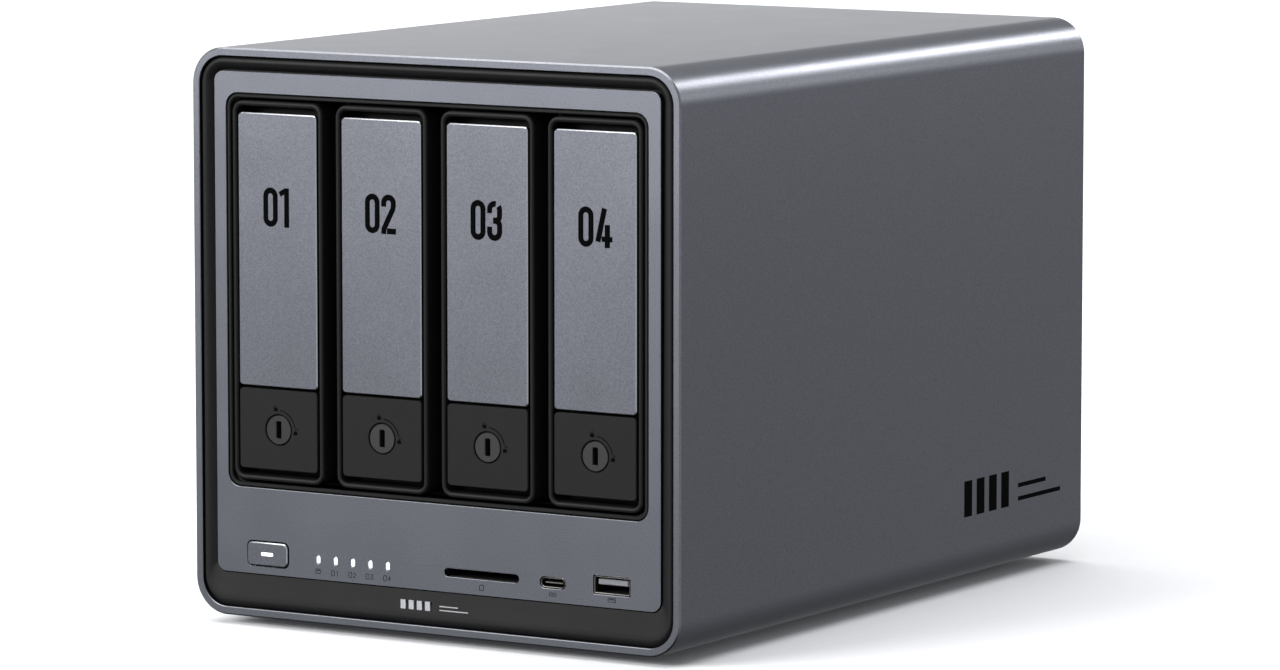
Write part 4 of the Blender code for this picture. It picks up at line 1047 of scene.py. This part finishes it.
def bars(low, high):
    """Plain bars between pairs of opposite corners, given as rows of (x, y, z), as one shell."""
    low, high = (np.asarray(corner, float)[:, None] for corner in (low, high))
    pick = (np.arange(8)[:, None] >> np.arange(3)) & 1
    points = np.where(pick, high, low).reshape(-1, 3)
    sides = [(0, 4, 6, 2), (1, 3, 7, 5), (0, 1, 5, 4), (2, 6, 7, 3), (0, 2, 3, 1), (4, 5, 7, 6)]
    faces = (8 * np.arange(len(low))[:, None, None] + np.array(sides)).reshape(-1, 4)
    return points, faces.tolist(), np.zeros(len(faces), int)


def contact_row(x, z, count, pitch, width, start, end):
    """A row of flat contacts side by side, from one depth to another, centred on (x, z)."""
    places = x + pitch * (np.arange(count) - (count - 1) / 2)
    low = spread(places - width / 2, start, z - CONTACT / 2)
    return bars(low, low + (width, end - start, CONTACT))


def socket_block(middle, size, mouths, mouth_depth, total, radius=0.0004):
    """A block with blind mouths: a chamfered plate with holes in front of a plain back.

    The back takes finish 1.
    """
    body = flat([at(middle, outline(*size, radius, 3)), *mouths], PORT, PORT + mouth_depth, 0.00015)
    back = [(0, PORT + mouth_depth), (0, PORT + total)]
    return [tinted(body, 0), tinted(carried(middle, size, radius, back, steps=3), 1)]


def facing_back(name, shells, materials, *place):
    """One object from shells that are drawn facing the front and turned to face the back."""
    build(name, [shown(shell, FACES_BACK) for shell in shells], materials, *place)


inlet_at = (0.0655, BASE + 0.0055)
pin_profile = [(-0.0007, PORT + 0.0010), (-0.0002, PORT + 0.0013), (0, PORT + 0.0018), (0, PORT + 0.0095)]
inlet_mouth = at(inlet_at, outline(0.0064, 0.0064, 0.0032))
inlet_shells = socket_block(inlet_at, (0.011, 0.011), [inlet_mouth], 0.009, 0.0139, 0.0009)
inlet_shells.append(tinted(turned(inlet_at, 0.00125, pin_profile, 4), 2))
facing_back(
    "power_inlet", inlet_shells, [nylon_black, nylon_black, nickel],
    "case", "rear_plastic", "dc_inlet",
)

# The network can is stamped nickel-plated steel round a black moulding; small clear windows
# above each mouth show link and traffic.
green_window = grained("green_tinted_polycarbonate", "#3E6B45", "#4F8357", 0.0004, (0.2, 0.3), 2e-6)
amber_window = grained("amber_tinted_polycarbonate", "#94702A", "#AD873A", 0.0004, (0.2, 0.3), 2e-6)
NETWORK_X = (0.0440, 0.0280)
network_at = (0.0360, BASE + 0.00675)
wide, tall = 0.0320, 0.0135
mouth_z = BASE + 0.0075
half_mouth = [(0.0059, 0.0034), (0.0059, -0.0034), (0.0031, -0.0034), (0.0031, -0.0057)]
plug_mouth = np.array([(-x, z) for x, z in half_mouth] + half_mouth[::-1])
can = at(network_at, outline(wide, tall, 0.0005, 3))
can_inside = at(network_at, outline(wide - 0.0006, tall - 0.0006, 0.0003, 3))
mouths = [at((x, mouth_z), plug_mouth) for x in NETWORK_X]
network_shells = [
    tinted(flat([can, *mouths], PORT, PORT + 0.0004, 0.0001), 0),
    tinted(flat([can, can_inside], PORT + 0.0004, PORT + 0.0208), 0),
]
liner_size = (wide - 0.0008, tall - 0.0008)
liner = [at(network_at, outline(*liner_size, 0.0003, 3))]
liner += [at((x, mouth_z), plug_mouth * 0.975) for x in NETWORK_X]
liner_back = [(0, PORT + 0.0120), (0, PORT + 0.0206)]
network_shells.append(tinted(flat(liner, PORT + 0.0005, PORT + 0.0120), 1))
network_shells.append(tinted(carried(network_at, liner_size, 0.0003, liner_back, steps=3), 1))
window = [(-0.0001, PORT - 0.00006), (0, PORT + 0.00004), (0, PORT + 0.0010)]
for x in NETWORK_X:
    row = contact_row(x, mouth_z + 0.0029, 8, 0.00102, 0.0004, PORT + 0.0014, PORT + 0.0110)
    network_shells.append(tinted(row, 2))
    for side, finish in ((-1, 3), (1, 4)):
        place = (x + side * 0.0046, mouth_z + 0.0047)
        network_shells.append(tinted(carried(place, (0.0028, 0.0011), 0.0002, window, steps=2), finish))
facing_back(
    "network_sockets", network_shells, [nickel, nylon_black, gold, green_window, amber_window],
    "case", "socket_steel", "network_ports",
)

pair_at = (0.0065, BASE + 0.0078)
pair_mouths = [(0.0065, BASE + 0.0040), (0.0065, BASE + 0.0116)]
pair_outlines = [at(place, outline(0.0123, 0.0048, 0.0003, 2)) for place in pair_mouths]
pair_shells = socket_block(pair_at, (0.0131, 0.0156), pair_outlines, 0.0120, 0.0174)
slab_profile = [(-0.0002, PORT + 0.0010), (0, PORT + 0.0012), (0, PORT + 0.0121)]
for x, z in pair_mouths:
    pair_shells.append(tinted(carried((x, z + 0.0010), (0.0106, 0.0017), 0.0003, slab_profile, steps=2), 2))
    row = contact_row(x, z + 0.00011, 4, 0.0024, 0.0012, PORT + 0.0020, PORT + 0.0100)
    pair_shells.append(tinted(row, 3))
facing_back(
    "rear_flat_sockets", pair_shells, [nickel, nylon_black, nylon_grey, gold],
    "case", "socket_steel", "rear_usb_ports",
)

video_at = (-0.0330, BASE + 0.0031)
half_mouth = [(0.0070, 0.0023), (0.0070, -0.0008), (0.0056, -0.0023)]
video_mouth = at(video_at, [(-x, z) for x, z in half_mouth] + half_mouth[::-1])
blade_profile = [(-0.0002, PORT + 0.0010), (0, PORT + 0.0012), (0, PORT + 0.0091)]
video_shells = socket_block(video_at, (0.0150, 0.0062), [video_mouth], 0.0090, 0.0119)
video_shells.append(tinted(carried(video_at, (0.0105, 0.0012), 0.0002, blade_profile, steps=2), 2))
for z in (video_at[1] + 0.00062, video_at[1] - 0.00062):
    row = contact_row(video_at[0], z, 9, 0.0010, 0.00045, PORT + 0.0018, PORT + 0.0080)
    video_shells.append(tinted(row, 3))
facing_back(
    "video_socket", video_shells, [nickel, nylon_black, nylon_black, gold],
    "case", "socket_steel", "video_port",
)
coat(nylon_grey, "reset_button")

# Pad-printed signs in pale ink stand over the sockets: plain outlines of what plugs in.
SIGN = 0.00022
panel_signs = [
    frame_sign(inlet_at[0], 0.0325, 0.0022, 0.0022, 0.0011, 6, SIGN, PANEL),
    dash(inlet_at[0], 0.0325, 0.0010, 0.0009, PANEL),
    frame_sign(video_at[0], 0.0278, 0.0026, 0.0016, 0.0001, 1, SIGN, PANEL),
    dash(video_at[0], 0.0264, 0.0018, SIGN, PANEL),
    ribbon(arc(-0.0520, 0.0262, 0.0011, -40, 250, 16), SIGN, PANEL),
    *[frame_sign(-0.0030, z, 0.0020, 0.0011, 0.0001, 1, SIGN, PANEL) for z in (0.0296, 0.0220)],
]
for x in NETWORK_X:
    panel_signs.append(frame_sign(x, 0.0343, 0.0010, 0.0008, 0.0001, 1, SIGN, PANEL))
    panel_signs.append(dash(x, 0.0334, 0.0024, SIGN, PANEL))
facing_back("rear_signs", panel_signs, [pale_ink], "case", "rear_plastic")

# ---------------------------------------------------------------- fan
# A 140 mm fan draws air through the drives: a square moulded frame with four struts, and a
# rotor of seven swept blades moulded in one with its hub.

# Glass-filled PBT comes from a polished mould, with a low even gloss.
fan_black = grained("moulded_black_pbt", "#141415", "#1E1E1F", 0.0004, (0.38, 0.48), 4e-6)
coat(fan_black, "fan_frame")
fan_low, fan_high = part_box("fan_rotor")
HUB_RADIUS = 0.0205
BLADE_ROOT, BLADE_TIP = 0.0195, 0.0655
BLADE_COUNT = 7


def blade(start):
    """One fan blade from the hub to the tip, its root at an angle.

    With u from 0 at the root to 1 at the tip and t from 0 to 1 along the chord, a point lies at
    radius r(u), at the angle start + 0.42 u^1.4 + (t - 0.5) chord / r, and at the depth
    middle + (t - 0.5) rise, bowed by a parabola in t and with half the thickness to each side.
    """
    u = np.linspace(0, 1, 10)[:, None]
    turn = np.linspace(0, 2 * np.pi, 18, endpoint=False)[None]
    t = 0.5 - 0.5 * np.cos(turn)
    radius = BLADE_ROOT + (BLADE_TIP - BLADE_ROOT) * u
    chord = 0.0235 + 0.0060 * u
    rise = 0.0172 - 0.0050 * u
    angle = start + 0.42 * u**1.4 + (t - 0.5) * chord / radius
    bow = 0.0016 * (1 - (2 * t - 1) ** 2)
    depth = (fan_low.y + fan_high.y) / 2 + (t - 0.5) * rise + bow + 0.0007 * np.sin(turn)
    grid = np.stack([radius * np.cos(angle), depth, FAN_Z + radius * np.sin(angle)], -1)
    return shell_of(grid[::-1])


hub_profile = [
    (-0.0030, fan_low.y),
    (-0.0012, fan_low.y + 0.0003),
    (0, fan_low.y + 0.0016),
    (0, fan_high.y - 0.0016),
    (-0.0005, fan_high.y - 0.0006),
    (-0.0014, fan_high.y),
    (-0.0055, fan_high.y),
    (-0.0058, fan_high.y - 0.0004),
]
build(
    "fan_wheel_blades",
    [
        turned((0, FAN_Z), HUB_RADIUS, hub_profile, 10),
        *[blade(2 * math.pi * number / BLADE_COUNT) for number in range(BLADE_COUNT)],
    ],
    [fan_black],
    "fan_wheel", "fan_plastic", "fan_rotor",
)

# ---------------------------------------------------------------- dust filter
# A thin moulded frame with a fine nylon net clips over the fan's grille by magnets. A ridge
# along its top edge gives a finger hold.

filter_low, filter_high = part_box("rear_filter")
FILTER_SIZE = (filter_high.x - filter_low.x, filter_high.z - filter_low.z)
FILTER_MIDDLE = (0.0, (filter_low.z + filter_high.z) / 2)
NET_SIZE = (FILTER_SIZE[0] - 0.012, FILTER_SIZE[1] - 0.012)
# Net threads lie about 0.5 mm apart; drawn at 1.5 mm so that the net reads as a net.
NET_PITCH = 0.0015
THREAD = 0.00042
TUCK = 0.0005
filter_frame_outlines = [
    at(FILTER_MIDDLE, outline(*FILTER_SIZE, 0.006)),
    at(FILTER_MIDDLE, outline(*NET_SIZE, 0.003)),
]
net_y = -(filter_low.y + filter_high.y) / 2
columns = np.arange(-NET_SIZE[0] / 2 + NET_PITCH / 2, NET_SIZE[0] / 2, NET_PITCH)
upright = spread(columns - THREAD / 2, net_y, FILTER_MIDDLE[1] - NET_SIZE[1] / 2 - TUCK)
rows = FILTER_MIDDLE[1] + np.arange(-NET_SIZE[1] / 2 + NET_PITCH / 2, NET_SIZE[1] / 2, NET_PITCH)
level = spread(-NET_SIZE[0] / 2 - TUCK, net_y - 0.0002, rows - THREAD / 2)
ridge_profile = [
    (-0.0006, -filter_high.y - 0.0011),
    (-0.0002, -filter_high.y - 0.0008),
    (0, -filter_high.y + 0.0004),
]
facing_back(
    "dust_filter_net",
    [
        flat(filter_frame_outlines, -filter_high.y, -filter_low.y, 0.0004),
        carried((0, filter_high.z - 0.003), (0.030, 0.0022), 0.0011, ridge_profile, steps=5),
        tinted(bars(upright, upright + (THREAD, 0.0003, NET_SIZE[1] + 2 * TUCK)), 1),
        tinted(bars(level, level + (NET_SIZE[0] + 2 * TUCK, 0.0003, THREAD)), 1),
    ],
    [abs_black, nylon_black],
    "dust_filter", "filter_mesh", "rear_filter",
)

# ---------------------------------------------------------------- side mark
# Four upright bars and two lines, screen printed in black low on the right-hand side near
# the back, repeat the plain mark on the chin.

FACES_RIGHT = ((0, -1, 0), (1, 0, 0), (0, 0, 1))
side_x = -sleeve_high.x
MARK_LOW, MARK_HIGH = 0.0245, 0.0362
side_bars = [
    ribbon([(place, MARK_LOW), (place, MARK_HIGH)], 0.0052, side_x)
    for place in 0.0502 + 0.0083 * np.arange(4)
]
side_bars += [
    ribbon([(0.0840, MARK_LOW + rise), (end, MARK_LOW + rise)], 0.0014, side_x)
    for end, rise in ((0.1132, 0.0018), (0.1030, 0.0062))
]
build(
    "side_bay_mark", [shown(shell, FACES_RIGHT) for shell in side_bars], [ink],
    "case", "sleeve_aluminium",
)
